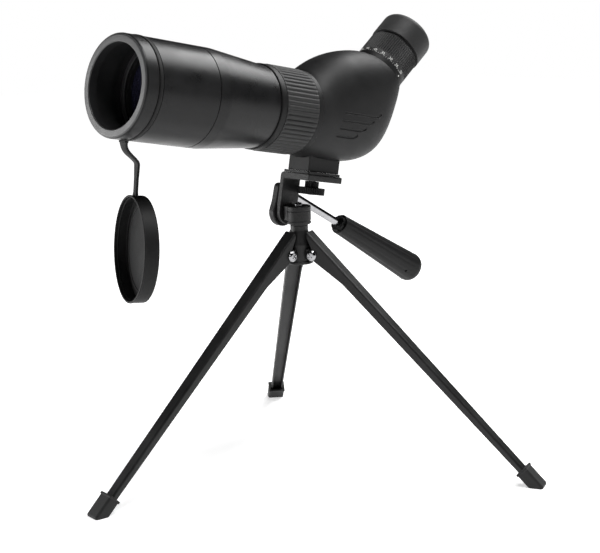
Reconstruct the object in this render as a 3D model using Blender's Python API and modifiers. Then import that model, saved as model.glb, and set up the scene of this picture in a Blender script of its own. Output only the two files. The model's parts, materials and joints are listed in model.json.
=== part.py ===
"""Angled zoom spotting scope on a folding table tripod.

Frame: +Z up, the scope looks along -Y, +X is the user's left. The origin is on the
ground under the middle of the whole object. Sizes are in millimetres (MM turns them
into metres).
"""
import math

import bmesh
import bpy
from mathutils import Euler, Vector

MM = 0.001
GAP = 0.3            # running gap between touching pieces

# Driving dimensions of the whole object
STAND_X, STAND_Y = -8.5, 20.9    # stand axis, measured from the middle of the ground plan
TILT_AXIS_Z = 208.5            # height of the tilt axis
TILT_DEG = 10.4                # the scope's nose-up angle as it stands
SCOPE_AXIS_H = 80.0            # optical axis above the tilt axis, at right angles to the tube
SCOPE_AXIS_Y = -14.7           # datum of the tube, measured along it from the tilt axis

# Scope, as distances forward of the datum and radii
TUBE_R = 38.0
WALL = 2.0
HOOD_FRONT = 179.3
HOOD_OPENING_R = 31.4
GROOVE_FRONT = 168.0
GROOVE_BACK = 164.0
SEAM = 111.3
SHADE_TRAVEL = 28.0
CELL_R = TUBE_R - WALL - 1.2
LENS_R = 31.8
TAPER_FRONT = 101.0
TAPER_BACK = 48.0
NECK_R = 32.7
SPIGOT_R = 30.3
RING_R = 33.7
RING_FRONT, RING_BACK = 46.7, 2.0
GRIP_FRONT, GRIP_BACK = 41.0, 7.0
HOUSING_FRONT = 1.7
HOUSING_WALL = 3.0

# Eyepiece, as distances up its own axis from where it meets the optical axis
EYE_BACK = 48.0
EYE_ANGLE = 49.0
SEAT = 54.0
SEAT_R = 25.2
SCALE_TOP = 59.6
ZOOM_TOP = 84.0
EYECUP_TOP = 108.0
EYE_R = 22.2
BARREL_R = 19.2

# Tilting bracket, in the tilting frame
PLATFORM_LOW, PLATFORM_HIGH = 27.3, 32.5
PLATFORM_X = (-17.0, 16.5)
PLATFORM_Y = (-9.2, 28.4)
PAD_HIGH = 34.4
FOOT_LOW = PAD_HIGH + GAP
FOOT_Y = (-6.2, 28.8)
FOOT_HALF_WIDTH = 12.0
SCREW_Y = 10.8
PLATE_INNER, PLATE_OUTER = -12.6, -16.9
ARM_INNER, ARM_OUTER = -17.2, -23.6
LOBE_R = 12.0
HANDLE_ANGLE = 19.6
HANDLE_X = -20.4
HANDLE_START = (12.4, 13.0)
ROD_R = 3.2
ROD_LENGTH = 155.0
GRIP_START, GRIP_END = 56.0, 165.0
COLLAR_R = 7.0

# Pan block and hub
PAN_R = 9.7
PAN_LOW, PAN_HIGH = 200.4, 215.2
HUB_R, HUB_LOW, HUB_SHOULDER = 9.8, 168.0, 190.0
NECK_HUB_R, HUB_TOP = 7.2, 199.4
NECK_CLEARANCE, WASHER_R = 1.1, 7.0

# Legs
LEG_AZIMUTHS = {"front": -95.1, "left": 24.9, "right": 144.9}
HEAD_SIDE = {"front": 1, "left": -1, "right": 1}
PIVOT_RADIUS, PIVOT_Z = 13.0, 176.0
WEB_OFFSET = 10.4
FOOT_RADIUS = 201.0          # where the line of a leg's back meets the ground
LEG_TOP_WIDTH, LEG_END_WIDTH = 14.0, 10.0
LEG_TOP_DEPTH, LEG_END_DEPTH = 7.4, 4.8
SHEET = 1.2
EAR_R = 4.8
SCREW_R = 2.0
BORE_R = 2.3

# Lens cap on its strap
CAP_R, CAP_DEPTH, CAP_WALL = 39.5, 11.5, 1.2
CAP_TURN = -20.0          # the strap's twist turns the cap a little to one side
CAP_LEAN = 5.0            # the cap hangs with its lower edge forward
CAP_HOLD = 5.75           # the strap holds the rim this far in front of the cap's back
KINK = (152.0, -53.0)     # the strap's bend, forward of the datum and below the optical axis
STRAP_RING_R = 38.4
STRAP_DROP = 23.4
STRAP_WIDTH, STRAP_THICK = 6.0, 2.0

ROUND = 32
MEDIUM = 24
SMALL = 16


def clear_scene():
    for obj in list(bpy.data.objects):
        bpy.data.objects.remove(obj, do_unlink=True)


def make_collection(name):
    coll = bpy.data.collections.new(name)
    bpy.context.scene.collection.children.link(coll)
    return coll


def material(name, colour, roughness, metallic=0.0, alpha=1.0):
    mat = bpy.data.materials.get(name)
    if mat is None:
        mat = bpy.data.materials.new(name)
        mat.use_nodes = True
        shader = mat.node_tree.nodes["Principled BSDF"]
        shader.inputs["Base Color"].default_value = (*colour, 1.0)
        shader.inputs["Roughness"].default_value = roughness
        shader.inputs["Metallic"].default_value = metallic
        shader.inputs["Alpha"].default_value = alpha
    return mat


def paint(obj, mat):
    obj.data.materials.clear()
    obj.data.materials.append(mat)


def empty(name, location, rotation, parent=None):
    """A frame to hang pieces on; location in millimetres, rotation in degrees."""
    obj = bpy.data.objects.new(name, None)
    obj.location = Vector(location) * MM
    obj.rotation_euler = Euler([math.radians(a) for a in rotation])
    obj.parent = parent
    PARTS.objects.link(obj)
    return obj


def place(obj, parent, location=(0, 0, 0), rotation=(0, 0, 0)):
    obj.parent = parent
    obj.location = Vector(location) * MM
    obj.rotation_euler = Euler([math.radians(a) for a in rotation])
    return obj


def mesh_object(name, bm, mat, collection=None):
    mesh = bpy.data.meshes.new(name)
    bm.to_mesh(mesh)
    bm.free()
    obj = bpy.data.objects.new(name, mesh)
    (collection or PARTS).objects.link(obj)
    if mat:
        paint(obj, mat)
    return obj


def turned(name, profile, mat, steps=ROUND, closed=True, collection=None):
    """A profile of (radius, height) points turned about Z, its outer side running down."""
    bm = bmesh.new()
    verts = [bm.verts.new((r * MM, 0.0, z * MM)) for r, z in profile]
    for a, b in zip(verts, verts[1:]):
        bm.edges.new((a, b))
    if closed:
        bm.edges.new((verts[-1], verts[0]))
    obj = mesh_object(name, bm, mat, collection)
    screw = obj.modifiers.new("Turn", "SCREW")
    screw.axis = "Z"
    screw.steps = steps
    screw.render_steps = steps
    screw.use_merge_vertices = True
    screw.merge_threshold = 0.00001
    screw.use_smooth_shade = True
    return obj


def ring(outer, inner, low, high):
    return [(outer, high), (outer, low), (inner, low), (inner, high)]


def disc(radius, low, high):
    return [(0, high), (radius, high), (radius, low), (0, low)]


def block(name, x, y, z, mat, bevel=0.0, segments=2, collection=None):
    """A box between three pairs of limits, its edges rounded."""
    bm = bmesh.new()
    bmesh.ops.create_cube(bm, size=1.0)
    size = Vector((x[1] - x[0], y[1] - y[0], z[1] - z[0]))
    middle = Vector((x[0] + x[1], y[0] + y[1], z[0] + z[1])) / 2
    for vert in bm.verts:
        vert.co = Vector((vert.co[i] * size[i] + middle[i] for i in range(3))) * MM
    obj = mesh_object(name, bm, mat, collection)
    if bevel:
        add_bevel(obj, bevel, segments)
    return obj


def add_bevel(obj, width, segments=2):
    mod = obj.modifiers.new("Rounding", "BEVEL")
    mod.width = width * MM
    mod.segments = segments
    mod.limit_method = "ANGLE"
    mod.angle_limit = math.radians(40)


def rod(name, radius, low, high, mat, steps=SMALL, collection=None):
    return turned(name, disc(radius, low, high), mat, steps, closed=False, collection=collection)


def as_cutter(obj):
    obj.hide_render = True
    obj.display_type = "WIRE"
    return obj


def boolean(obj, cutter, operation="DIFFERENCE"):
    mod = obj.modifiers.new(cutter.name, "BOOLEAN")
    mod.operation = operation
    mod.object = cutter
    mod.solver = "EXACT"


def drill(obj, radius, low, high, parent, location=(0, 0, 0), rotation=(0, 0, 0), steps=SMALL):
    """A round hole along the local Z of the place given."""
    tool = rod(obj.name + "_bore", radius, low, high, None, steps, CUTTERS)
    place(as_cutter(tool), parent, location, rotation)
    boolean(obj, tool)


def mill(obj, x, y, z, parent, location=(0, 0, 0), rotation=(0, 0, 0)):
    """A rectangular pocket."""
    tool = block(obj.name + "_pocket", x, y, z, None, collection=CUTTERS)
    place(as_cutter(tool), parent, location, rotation)
    boolean(obj, tool)


def outline(name, points, low, high, mat, collection=None):
    """A flat outline in local XY, filled and extruded along Z, made into a mesh."""
    curve = bpy.data.curves.new(name, "CURVE")
    curve.dimensions = "2D"
    curve.fill_mode = "BOTH"
    curve.extrude = (high - low) / 2 * MM
    spline = curve.splines.new("POLY")
    spline.points.add(len(points) - 1)
    for point, (x, y) in zip(spline.points, points):
        point.co = (x * MM, y * MM, 0.0, 1.0)
    spline.use_cyclic_u = True
    source = bpy.data.objects.new(name + "_curve", curve)
    bpy.context.scene.collection.objects.link(source)
    graph = bpy.context.evaluated_depsgraph_get()
    mesh = bpy.data.meshes.new_from_object(source.evaluated_get(graph))
    bpy.data.objects.remove(source, do_unlink=True)
    bm = bmesh.new()
    bm.from_mesh(mesh)
    bpy.data.meshes.remove(mesh)
    bmesh.ops.remove_doubles(bm, verts=bm.verts, dist=0.00001)
    bmesh.ops.translate(bm, verts=bm.verts, vec=(0, 0, (low + high) / 2 * MM))
    bmesh.ops.recalc_face_normals(bm, faces=bm.faces)
    return mesh_object(name, bm, mat, collection)


def arc(cx, cy, radius, start, end, count=8):
    """Points on an arc, angles in degrees."""
    angles = [math.radians(start + (end - start) * i / count) for i in range(count + 1)]
    return [(cx + radius * math.cos(a), cy + radius * math.sin(a)) for a in angles]


def bowl(radius, edge, crown, count=3):
    """Points of a lens face from its middle out to its edge."""
    return [(radius * i / count, crown + (edge - crown) * (i / count) ** 2) for i in range(count + 1)]


def lens(name, radius, front, back, mat, parent):
    """A lens with (edge, middle) heights for its front and its back face."""
    profile = bowl(radius, *front) + bowl(radius, *back)[::-1]
    return place(turned(name, profile, mat, MEDIUM, closed=False), parent)


# ---------------------------------------------------------------- scope tube

def build_hood(axis):
    black = material("satin_black_metal", (0.025, 0.025, 0.027), 0.45)
    grey = material("bezel_grey", (0.16, 0.16, 0.165), 0.5)
    bezel = [(35.2, HOOD_FRONT), (36.9, HOOD_FRONT - 0.8), (TUBE_R, HOOD_FRONT - 2.8),
             (TUBE_R, GROOVE_FRONT), (35.7, GROOVE_FRONT), (35.7, 156), (33.7, 156), (33.7, 171),
             (HOOD_OPENING_R, 172.5), (HOOD_OPENING_R, HOOD_FRONT - 3), (32.6, HOOD_FRONT - 1)]
    place(turned("bezel_ring", bezel, grey), axis)
    inner = TUBE_R - WALL
    lip = CELL_R + GAP
    shade = [(TUBE_R, GROOVE_BACK), (TUBE_R, SEAM + 0.2), (lip, SEAM + 0.2), (lip, SEAM + 3.2),
             (inner, SEAM + 3.2), (inner, GROOVE_BACK)]
    place(turned("sunshade", shade, black), axis)


def build_objective(axis):
    black = material("satin_black_metal", (0.025, 0.025, 0.027), 0.45)
    glass = material("coated_glass", (0.10, 0.08, 0.30), 0.05, 0.0, 0.4)
    flange = TUBE_R - WALL - GAP
    shoulder = LENS_R - 1.6
    bore = LENS_R + GAP
    stop = SEAM + 3.2 + SHADE_TRAVEL + GAP
    cell = [(flange, 147), (flange, stop), (CELL_R, stop), (CELL_R, 96), (32.6, 96),
            (32.6, 131), (shoulder, 131), (shoulder, 133), (bore, 133), (bore, 147)]
    place(turned("objective_cell", cell, black), axis)
    lens("flint_lens", LENS_R, (137.8, 135.6), (133.3, 133.9), glass, axis)
    lens("crown_lens", LENS_R, (141.2, 143.4), (138.1, 135.9), glass, axis)
    place(turned("objective_retainer", ring(LENS_R, LENS_R - 1.8, 141.5, 145.0), black), axis)


def build_main_tube(axis):
    black = material("satin_black_metal", (0.025, 0.025, 0.027), 0.45)
    cell_bore = CELL_R + GAP
    inside = SPIGOT_R - 2.6
    profile = [(TUBE_R, SEAM - 0.2), (TUBE_R, TAPER_FRONT), (NECK_R, TAPER_BACK), (NECK_R, RING_FRONT + GAP),
               (SPIGOT_R, RING_FRONT + GAP), (SPIGOT_R, -5), (inside, -5), (inside, 46), (29.9, 51),
               (33.0, 90), (33.0, 95.6), (cell_bore, 95.6), (cell_bore, SEAM - 0.2)]
    tube = place(turned("main_tube", profile, black), axis)
    mill(tube, (-2.2, 2.2), (24, 34), (12.8, 29.2), axis)
    place(turned("baffle_ring", ring(31.0, 24.0, 68, 69.5), black, MEDIUM), axis)


def build_focus(axis):
    black = material("satin_black_plastic", (0.03, 0.03, 0.032), 0.5)
    rubber = material("black_rubber", (0.02, 0.02, 0.02), 0.8)
    glass = material("coated_glass", (0.10, 0.08, 0.30), 0.05, 0.0, 0.4)
    steel = material("bright_steel", (0.62, 0.62, 0.64), 0.2, 1.0)
    inner = SPIGOT_R + GAP
    groove = RING_R - 1.5
    profile = [(RING_R, RING_FRONT), (RING_R, GRIP_FRONT), (groove, GRIP_FRONT), (groove, GRIP_BACK),
               (RING_R, GRIP_BACK), (RING_R, RING_BACK), (inner, RING_BACK), (inner, RING_FRONT)]
    place(turned("focus_ring", profile, black), axis)
    grip = ring(RING_R + 0.4, groove + GAP, GRIP_BACK + GAP, GRIP_FRONT - GAP)
    place(turned("focus_grip", grip, rubber), axis)
    cell_r = SPIGOT_R - 2.6 - GAP
    cell = [(cell_r, 27), (cell_r, 15), (21.5, 15), (21.5, 17), (24.3, 17), (24.3, 27)]
    place(turned("focus_lens_cell", cell, black, MEDIUM), axis)
    lens("focusing_lens", 24.0, (22.5, 19.8), (17.3, 18.2), glass, axis)
    place(turned("focus_lens_retainer", ring(24.0, 22.2, 22.8, 25.0), black, MEDIUM), axis)
    pin = rod("focus_drive_pin", 1.8, cell_r + 0.3, SPIGOT_R + 0.1, steel)
    place(pin, axis, (0, 0, 21), (-90, 0, 0))


# ---------------------------------------------------------------- prism housing

def bezier(points, t):
    """A point at t on the cubic curve through four control points in a plane."""
    a, b, c, d = points
    u = 1 - t
    weights = (u ** 3, 3 * u * u * t, 3 * u * t * t, t ** 3)
    return tuple(sum(w * p[i] for w, p in zip(weights, (a, b, c, d))) for i in range(2))


def housing_sections(grow, count=10, segments=32):
    """Rounded sections of the elbow from the tube to the eyepiece seat."""
    tilt = math.radians(90 - EYE_ANGLE)
    up = (math.cos(math.radians(EYE_ANGLE)), math.sin(math.radians(EYE_ANGLE)))
    across = (-math.cos(tilt), math.sin(tilt))
    seat = (EYE_BACK + SEAT * up[0], SEAT * up[1])
    top_end = (seat[0] + SEAT_R * across[0], seat[1] + SEAT_R * across[1])
    low_end = (seat[0] - SEAT_R * across[0], seat[1] - SEAT_R * across[1])
    top = ((-HOUSING_FRONT, RING_R), (10, 41.5), (34, 59), top_end)
    low = ((-HOUSING_FRONT, -RING_R), (66, -40), (88, -32), low_end)
    sections = []
    for i in range(count + 1):
        t = i / count
        a, b = bezier(top, t), bezier(low, t)
        middle = ((a[0] + b[0]) / 2, (a[1] + b[1]) / 2)
        half = math.hypot(a[0] - b[0], a[1] - b[1]) / 2
        lean = ((a[0] - b[0]) / (2 * half), (a[1] - b[1]) / (2 * half))
        width = RING_R + (SEAT_R - RING_R) * t ** 2.2
        square = 2.0 + 0.7 * math.sin(math.pi * t) ** 1.5
        loop = []
        for k in range(segments):
            angle = 2 * math.pi * k / segments
            c, s = math.cos(angle), math.sin(angle)
            x = math.copysign(abs(c) ** (2 / square), c) * (width + grow)
            h = math.copysign(abs(s) ** (2 / square), s) * (half + grow)
            loop.append((x, middle[0] + lean[0] * h, middle[1] + lean[1] * h))
        sections.append(loop)
    return sections


def loft(name, sections, mat, capped, collection=None):
    """A skin through closed loops of points."""
    bm = bmesh.new()
    rows = [[bm.verts.new(Vector(p) * MM) for p in loop] for loop in sections]
    count = len(rows[0])
    for a, b in zip(rows, rows[1:]):
        for k in range(count):
            n = (k + 1) % count
            bm.faces.new((a[k], a[n], b[n], b[k]))
    if capped:
        bm.faces.new(rows[0])
        bm.faces.new(rows[-1])
    bmesh.ops.recalc_face_normals(bm, faces=bm.faces)
    return mesh_object(name, bm, mat, collection)


def build_housing(body):
    black = material("satin_black_plastic", (0.03, 0.03, 0.032), 0.5)
    datum = (0, SCOPE_AXIS_Y, SCOPE_AXIS_H)
    shell = place(loft("prism_housing", housing_sections(0.0), black, False), body, datum)
    solid = shell.modifiers.new("Wall", "SOLIDIFY")
    solid.thickness = HOUSING_WALL * MM
    solid.offset = -1.0
    solid.use_even_offset = True
    return datum


def build_prism(body, datum):
    """A 45 degree prism and the sheet cage that carries it."""
    glass = material("prism_glass", (0.75, 0.82, 0.85), 0.03, 0.0, 0.35)
    zinc = material("cast_zinc", (0.35, 0.35, 0.36), 0.5, 0.9)
    half = 15.0
    points = [(32, -15), (64, -15), (74, 5), (58, 21), (32, 15)]
    prism = outline("roof_prism", points, -half, half, glass)
    place(prism, body, datum, (90, 0, 90))
    cage = [(28, -19), (66, -19), (66, -16.5), (30.5, -16.5), (30.5, 17.5), (28, 17.5)]
    place(outline("prism_cage", cage, -half - 3, half + 3, zinc), body, datum, (90, 0, 90))
    drill(bpy.data.objects["prism_cage"], 11.0, -40, -20, body, datum, (90, 0, 0), MEDIUM)


# ---------------------------------------------------------------- eyepiece

def build_eyepiece(eye):
    black = material("satin_black_plastic", (0.03, 0.03, 0.032), 0.5)
    rubber = material("black_rubber", (0.02, 0.02, 0.02), 0.8)
    glass = material("coated_glass", (0.10, 0.08, 0.30), 0.05, 0.0, 0.4)
    flange = SEAT_R - HOUSING_WALL - 0.5
    bore = BARREL_R - 2.0
    inner = BARREL_R + GAP
    barrel = [(BARREL_R, EYECUP_TOP - 5), (BARREL_R, SEAT + 0.1), (flange, SEAT + 0.1), (flange, SEAT - 5),
              (bore - 3, SEAT - 5), (bore - 3, SEAT - 2), (bore, SEAT - 2), (bore, EYECUP_TOP - 5)]
    place(turned("eyepiece_barrel", barrel, black), eye)
    scale = ring(EYE_R + 0.4, inner, SEAT + 0.4, SCALE_TOP)
    place(turned("zoom_scale_ring", scale, black), eye)
    zoom = [(EYE_R, ZOOM_TOP - 0.5), (EYE_R, SCALE_TOP + GAP), (inner, SCALE_TOP + GAP),
            (inner, ZOOM_TOP + 1.3), (EYE_R - 1.4, ZOOM_TOP + 1.3), (EYE_R - 1.4, ZOOM_TOP - 0.5)]
    place(turned("zoom_ring", zoom, rubber), eye)
    low = ZOOM_TOP + 1.6
    outer = EYE_R + 0.6
    round_top = arc(outer - 5, EYECUP_TOP - 5, 5, 90, 0, 4)
    mouth = EYECUP_TOP - 4.6
    cup = round_top + [(outer, low), (inner, low), (inner, mouth), (16.5, mouth), (15.5, EYECUP_TOP - 1)]
    place(turned("eyecup", cup, rubber), eye)


def build_zoom_optics(eye):
    black = material("satin_black_plastic", (0.03, 0.03, 0.032), 0.5)
    glass = material("coated_glass", (0.10, 0.08, 0.30), 0.05, 0.0, 0.4)
    bore = BARREL_R - 2.0
    lens("field_lens", bore - GAP, (56.5, 58.0), (53.0, 52.6), glass, eye)
    cell_r = bore - GAP
    cell = [(cell_r, 72), (cell_r, 62), (11.5, 62), (11.5, 64), (14.3, 64), (14.3, 72)]
    place(turned("zoom_lens_cell", cell, black, MEDIUM), eye)
    lens("zoom_lens", 14.0, (69.5, 67.4), (64.3, 65.3), glass, eye)
    seat = [(cell_r, 102.6), (cell_r, 91), (11.5, 91), (11.5, 93), (13.3, 93), (13.3, 102.6)]
    place(turned("eye_lens_cell", seat, black, MEDIUM), eye)
    lens("eye_lens", 13.0, (98.5, 100.6), (93.3, 93.8), glass, eye)


# ---------------------------------------------------------------- foot and bracket

def build_foot(body, datum):
    black = material("satin_black_plastic", (0.03, 0.03, 0.032), 0.5)
    brass = material("brass", (0.70, 0.52, 0.22), 0.3, 1.0)
    width = FOOT_HALF_WIDTH
    foot = block("tripod_foot", (-width, width), FOOT_Y, (FOOT_LOW, 52), black, 1.2)
    place(foot, body)
    skin = loft("housing_envelope", housing_sections(GAP), None, True, CUTTERS)
    place(as_cutter(skin), body, datum)
    boolean(foot, skin)
    drill(foot, 5.3, FOOT_LOW - 2, FOOT_LOW + 8.3, body, (0, SCREW_Y, 0))
    insert = ring(5.0, 3.6, FOOT_LOW + 0.2, FOOT_LOW + 8.0)
    place(turned("thread_insert", insert, brass, SMALL), body, (0, SCREW_Y, 0))


def lobe_points(top, half):
    """A paddle outline round the tilt axis, y across and z up."""
    lower = arc(0, 0, half, 180, 360, 12)
    return lower + [(half, top), (-half, top)]


def build_bracket(body):
    black = material("black_enamel", (0.02, 0.02, 0.021), 0.4, 0.3)
    rubber = material("black_rubber", (0.02, 0.02, 0.02), 0.8)
    bright = material("bright_steel", (0.62, 0.62, 0.64), 0.2, 1.0)
    frame = (90, 0, 90)
    half = -PLATFORM_Y[0] + 0.3
    plate = outline("tilt_bracket", lobe_points(PLATFORM_HIGH - 2, half), PLATE_OUTER, PLATE_INNER, black)
    place(plate, body, (0, 0, 0), frame)
    top = block("platform_blank", PLATFORM_X, PLATFORM_Y, (PLATFORM_LOW, PLATFORM_HIGH), None, 1.0,
                collection=CUTTERS)
    place(as_cutter(top), body)
    boolean(plate, top, "UNION")
    drill(plate, 4.2, 24, 36, body, (0, SCREW_Y, 0))
    drill(plate, 2.7, -20, -10, body, (0, 0, 0), (0, 90, 0))
    arm_top = 23.0
    outer = arc(0, 0, LOBE_R, 180, 360, 12) + [(10.2, 8.0), (9.4, arm_top - 4)]
    outer += arc(5.4, arm_top - 4, 4, 0, 90, 4) + arc(-5.4, arm_top - 4, 4, 90, 180, 4)
    outer += [(-10.2, 8.0)]
    arm = outline("tilt_arm", outer, ARM_OUTER, ARM_INNER, black)
    place(arm, body, (0, 0, 0), frame)
    add_bevel(arm, 0.8)
    drill(arm, 2.7, -30, -10, body, (0, 0, 0), (0, 90, 0))
    drill(arm, 4.8, -26, -21.0, body, (0, 0, 0), (0, 90, 0))
    for side, (y, z) in {"front": (-5, 17), "rear": (4, 18)}.items():
        drill(plate, 1.9, -26, -10, body, (0, y, z), (0, 90, 0), 12)
        drill(arm, 1.9, -26, -10, body, (0, y, z), (0, 90, 0), 12)
        rivet = rod("arm_rivet_" + side, 1.6, ARM_OUTER + 0.8, PLATE_INNER - 0.2, bright, 12)
        place(rivet, body, (0, y, z), (0, 90, 0))
    pad = block("platform_pad", (-15, 15), (-8.2, 27.4), (PLATFORM_HIGH + GAP, PAD_HIGH), rubber, 0.4)
    place(pad, body)
    drill(pad, 4.2, 24, 36, body, (0, SCREW_Y, 0))
    bolt = [(0, -21.3), (2.4, -21.3), (2.4, -4.6), (0, -4.6)]
    head = [(0, -23.3), (4.5, -23.3), (4.5, -21.3)]
    profile = [(r, -z) for r, z in head + bolt[1:]]
    place(turned("tilt_bolt", profile, bright, SMALL, closed=False), body, (0, 0, 0), (0, -90, 0))


def build_camera_screw(body):
    black = material("satin_black_plastic", (0.03, 0.03, 0.032), 0.5)
    bright = material("bright_steel", (0.62, 0.62, 0.64), 0.2, 1.0)
    place_at = (0, SCREW_Y, 0)
    knob_top = PLATFORM_LOW - GAP
    knob = [(5.7, knob_top), (5.7, knob_top - 5), (11, knob_top - 5), (11, knob_top - 10.7),
            (3.5, knob_top - 10.7), (3.5, knob_top)]
    place(turned("camera_screw_knob", knob, black, MEDIUM), body, place_at)
    screw = [(0, 41.5), (2.6, 41.5), (3.2, 40.8), (3.2, 16), (0, 16)]
    place(turned("camera_screw", screw, bright, SMALL, closed=False), body, place_at)


def build_handle(body):
    black = material("satin_black_plastic", (0.03, 0.03, 0.032), 0.5)
    chrome = material("chrome", (0.80, 0.80, 0.82), 0.12, 1.0)
    axis = empty("handle_axis", (HANDLE_X, *HANDLE_START), (-90 - HANDLE_ANGLE, 0, 0), body)
    tip = [(0, ROD_LENGTH), (ROD_R, ROD_LENGTH), (ROD_R, 0.3), (2.0, 0.3), (2.0, -8), (0, -8)]
    place(turned("handle_rod", tip, chrome, SMALL, closed=False), axis)
    arm = bpy.data.objects["tilt_arm"]
    drill(arm, 2.3, -8.6, 3, axis)
    mill(arm, (-6, 6), (-8, 14), (0, 8), axis)
    end = GRIP_END - 7
    grip = [(0, GRIP_END), (7.5, GRIP_END), (11.4, GRIP_END - 2.2), (12.8, end), (8.6, GRIP_START + 5),
            (COLLAR_R, GRIP_START + 4), (COLLAR_R, GRIP_START), (ROD_R + GAP, GRIP_START),
            (ROD_R + GAP, ROD_LENGTH + GAP), (0, ROD_LENGTH + GAP)]
    place(turned("handle_grip", grip, black, MEDIUM, closed=False), axis)


# ---------------------------------------------------------------- pan block and hub

def build_pan(pan):
    black = material("black_enamel", (0.02, 0.02, 0.021), 0.4, 0.3)
    bright = material("bright_steel", (0.62, 0.62, 0.64), 0.2, 1.0)
    nylon = material("nylon", (0.03, 0.03, 0.03), 0.6)
    profile = [(2.7, PAN_HIGH), (PAN_R - 0.8, PAN_HIGH), (PAN_R, PAN_HIGH - 0.8), (PAN_R, PAN_LOW + 2),
               (PAN_R - 0.9, PAN_LOW), (2.7, PAN_LOW)]
    body = place(turned("pan_block", profile, black, MEDIUM), pan)
    boss = block("pan_boss", (-12.3, -6), (-6, 6), (PAN_LOW + 2.2, PAN_HIGH - 0.6), None, 0.6,
                 collection=CUTTERS)
    place(as_cutter(boss), pan)
    boolean(body, boss, "UNION")
    drill(body, 2.7, -20, -4.2, pan, (0, 0, TILT_AXIS_Z), (0, 90, 0))
    screw = [(0, 217.6), (1.8, 217.6), (3.3, 216.6), (3.3, PAN_HIGH + GAP), (2.4, PAN_HIGH + GAP),
             (2.4, 185.5), (0, 185.5)]
    place(turned("pan_screw", screw, bright, SMALL, closed=False), pan)
    place(turned("pan_washer", ring(WASHER_R, 2.8, HUB_TOP + 0.2, PAN_LOW - 0.2), nylon, MEDIUM), pan)


def build_hub(stand):
    black = material("black_enamel", (0.02, 0.02, 0.021), 0.4, 0.3)
    profile = [(0, HUB_TOP), (NECK_HUB_R, HUB_TOP), (NECK_HUB_R, HUB_TOP - 4),
               (HUB_R - 0.6, HUB_SHOULDER - 4), (HUB_R, HUB_SHOULDER - 6), (HUB_R, HUB_LOW + 2.5),
               (HUB_R + 1, HUB_LOW + 2.5), (HUB_R + 1, HUB_LOW), (0, HUB_LOW)]
    hub = place(turned("hub", profile, black, MEDIUM, closed=False), stand)
    for name, azimuth in LEG_AZIMUTHS.items():
        half = LEG_TOP_WIDTH / 2 - SHEET - GAP
        points = arc(PIVOT_RADIUS, PIVOT_Z, 4.5, -90, 90, 8) + [(5, PIVOT_Z + 4.5), (5, PIVOT_Z - 4.5)]
        lug = outline("lug_" + name, points, -half, half, None, CUTTERS)
        place(as_cutter(lug), stand, (0, 0, 0), (90, 0, azimuth))
        boolean(hub, lug, "UNION")
    for name, azimuth in LEG_AZIMUTHS.items():
        angle = math.radians(azimuth)
        spot = (PIVOT_RADIUS * math.cos(angle), PIVOT_RADIUS * math.sin(angle), PIVOT_Z)
        drill(hub, BORE_R, -9, 9, stand, spot, (90, 0, azimuth))
    drill(hub, 2.7, 184, HUB_TOP + 2, stand)


def leg_line():
    """Slope of a leg's back below the horizontal, in radians."""
    slope = math.radians(45.0)
    for _ in range(20):
        across = PIVOT_RADIUS + math.sin(slope) * WEB_OFFSET
        height = PIVOT_Z + math.cos(slope) * WEB_OFFSET
        slope = math.atan2(height, FOOT_RADIUS - across)
    return slope


def leg_top(slope):
    """Upper end of the leg's back, where it comes to rest against the hub's neck."""
    reach = NECK_HUB_R + NECK_CLEARANCE - PIVOT_RADIUS - (WEB_OFFSET - SHEET) * math.sin(slope)
    return reach / math.cos(slope)


def build_leg(name, azimuth, slope):
    """Folded sheet leg: a back and two side walls with ears round the pivot."""
    black = material("black_enamel", (0.02, 0.02, 0.021), 0.4, 0.3)
    angle = math.radians(azimuth)
    spot = (STAND_X + PIVOT_RADIUS * math.cos(angle), STAND_Y + PIVOT_RADIUS * math.sin(angle), PIVOT_Z)
    hinge = empty("leg_hinge_" + name, spot, (0, 0, azimuth))
    frame = empty("leg_axis_" + name, (0, 0, 0), (0, math.degrees(slope), 0), hinge)
    length = leg_length(slope)
    top = leg_top(slope)
    inner_top, inner_end = WEB_OFFSET - LEG_TOP_DEPTH, WEB_OFFSET - LEG_END_DEPTH
    cut = math.degrees(slope)
    ear = arc(0, 0, EAR_R, 90 + cut, 270 + 60, 8)
    side = [(top, WEB_OFFSET), (top + 3.4, WEB_OFFSET - 3.6)]
    side += ear + [(16, inner_top), (length, inner_end), (length, WEB_OFFSET)]
    bm = bmesh.new()
    rails = []
    for sign in (-1, 1):
        row = []
        for u, v in side:
            share = max(0.0, min(1.0, u / length))
            half = (LEG_TOP_WIDTH + (LEG_END_WIDTH - LEG_TOP_WIDTH) * share) / 2
            row.append(bm.verts.new(Vector((u, sign * half, v)) * MM))
        bm.faces.new(row if sign < 0 else row[::-1])
        rails.append(row)
    a, b = rails
    bm.faces.new((a[0], a[-1], b[-1], b[0]))
    bmesh.ops.recalc_face_normals(bm, faces=bm.faces)
    leg = place(mesh_object("leg_" + name, bm, black), frame)
    solid = leg.modifiers.new("Sheet", "SOLIDIFY")
    solid.thickness = SHEET * MM
    solid.offset = -1.0
    solid.use_even_offset = True
    drill(leg, BORE_R, -9, 9, frame, (0, 0, 0), (90, 0, 0))
    build_foot_cap(name, frame, length)
    build_pivot(name, frame, HEAD_SIDE[name])


def leg_length(slope):
    """Distance from the pivot down the leg to where its end stops short of the floor."""
    drop = PIVOT_Z + math.cos(slope) * (WEB_OFFSET - LEG_END_DEPTH)
    return drop / math.sin(slope) - 6.0


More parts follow.
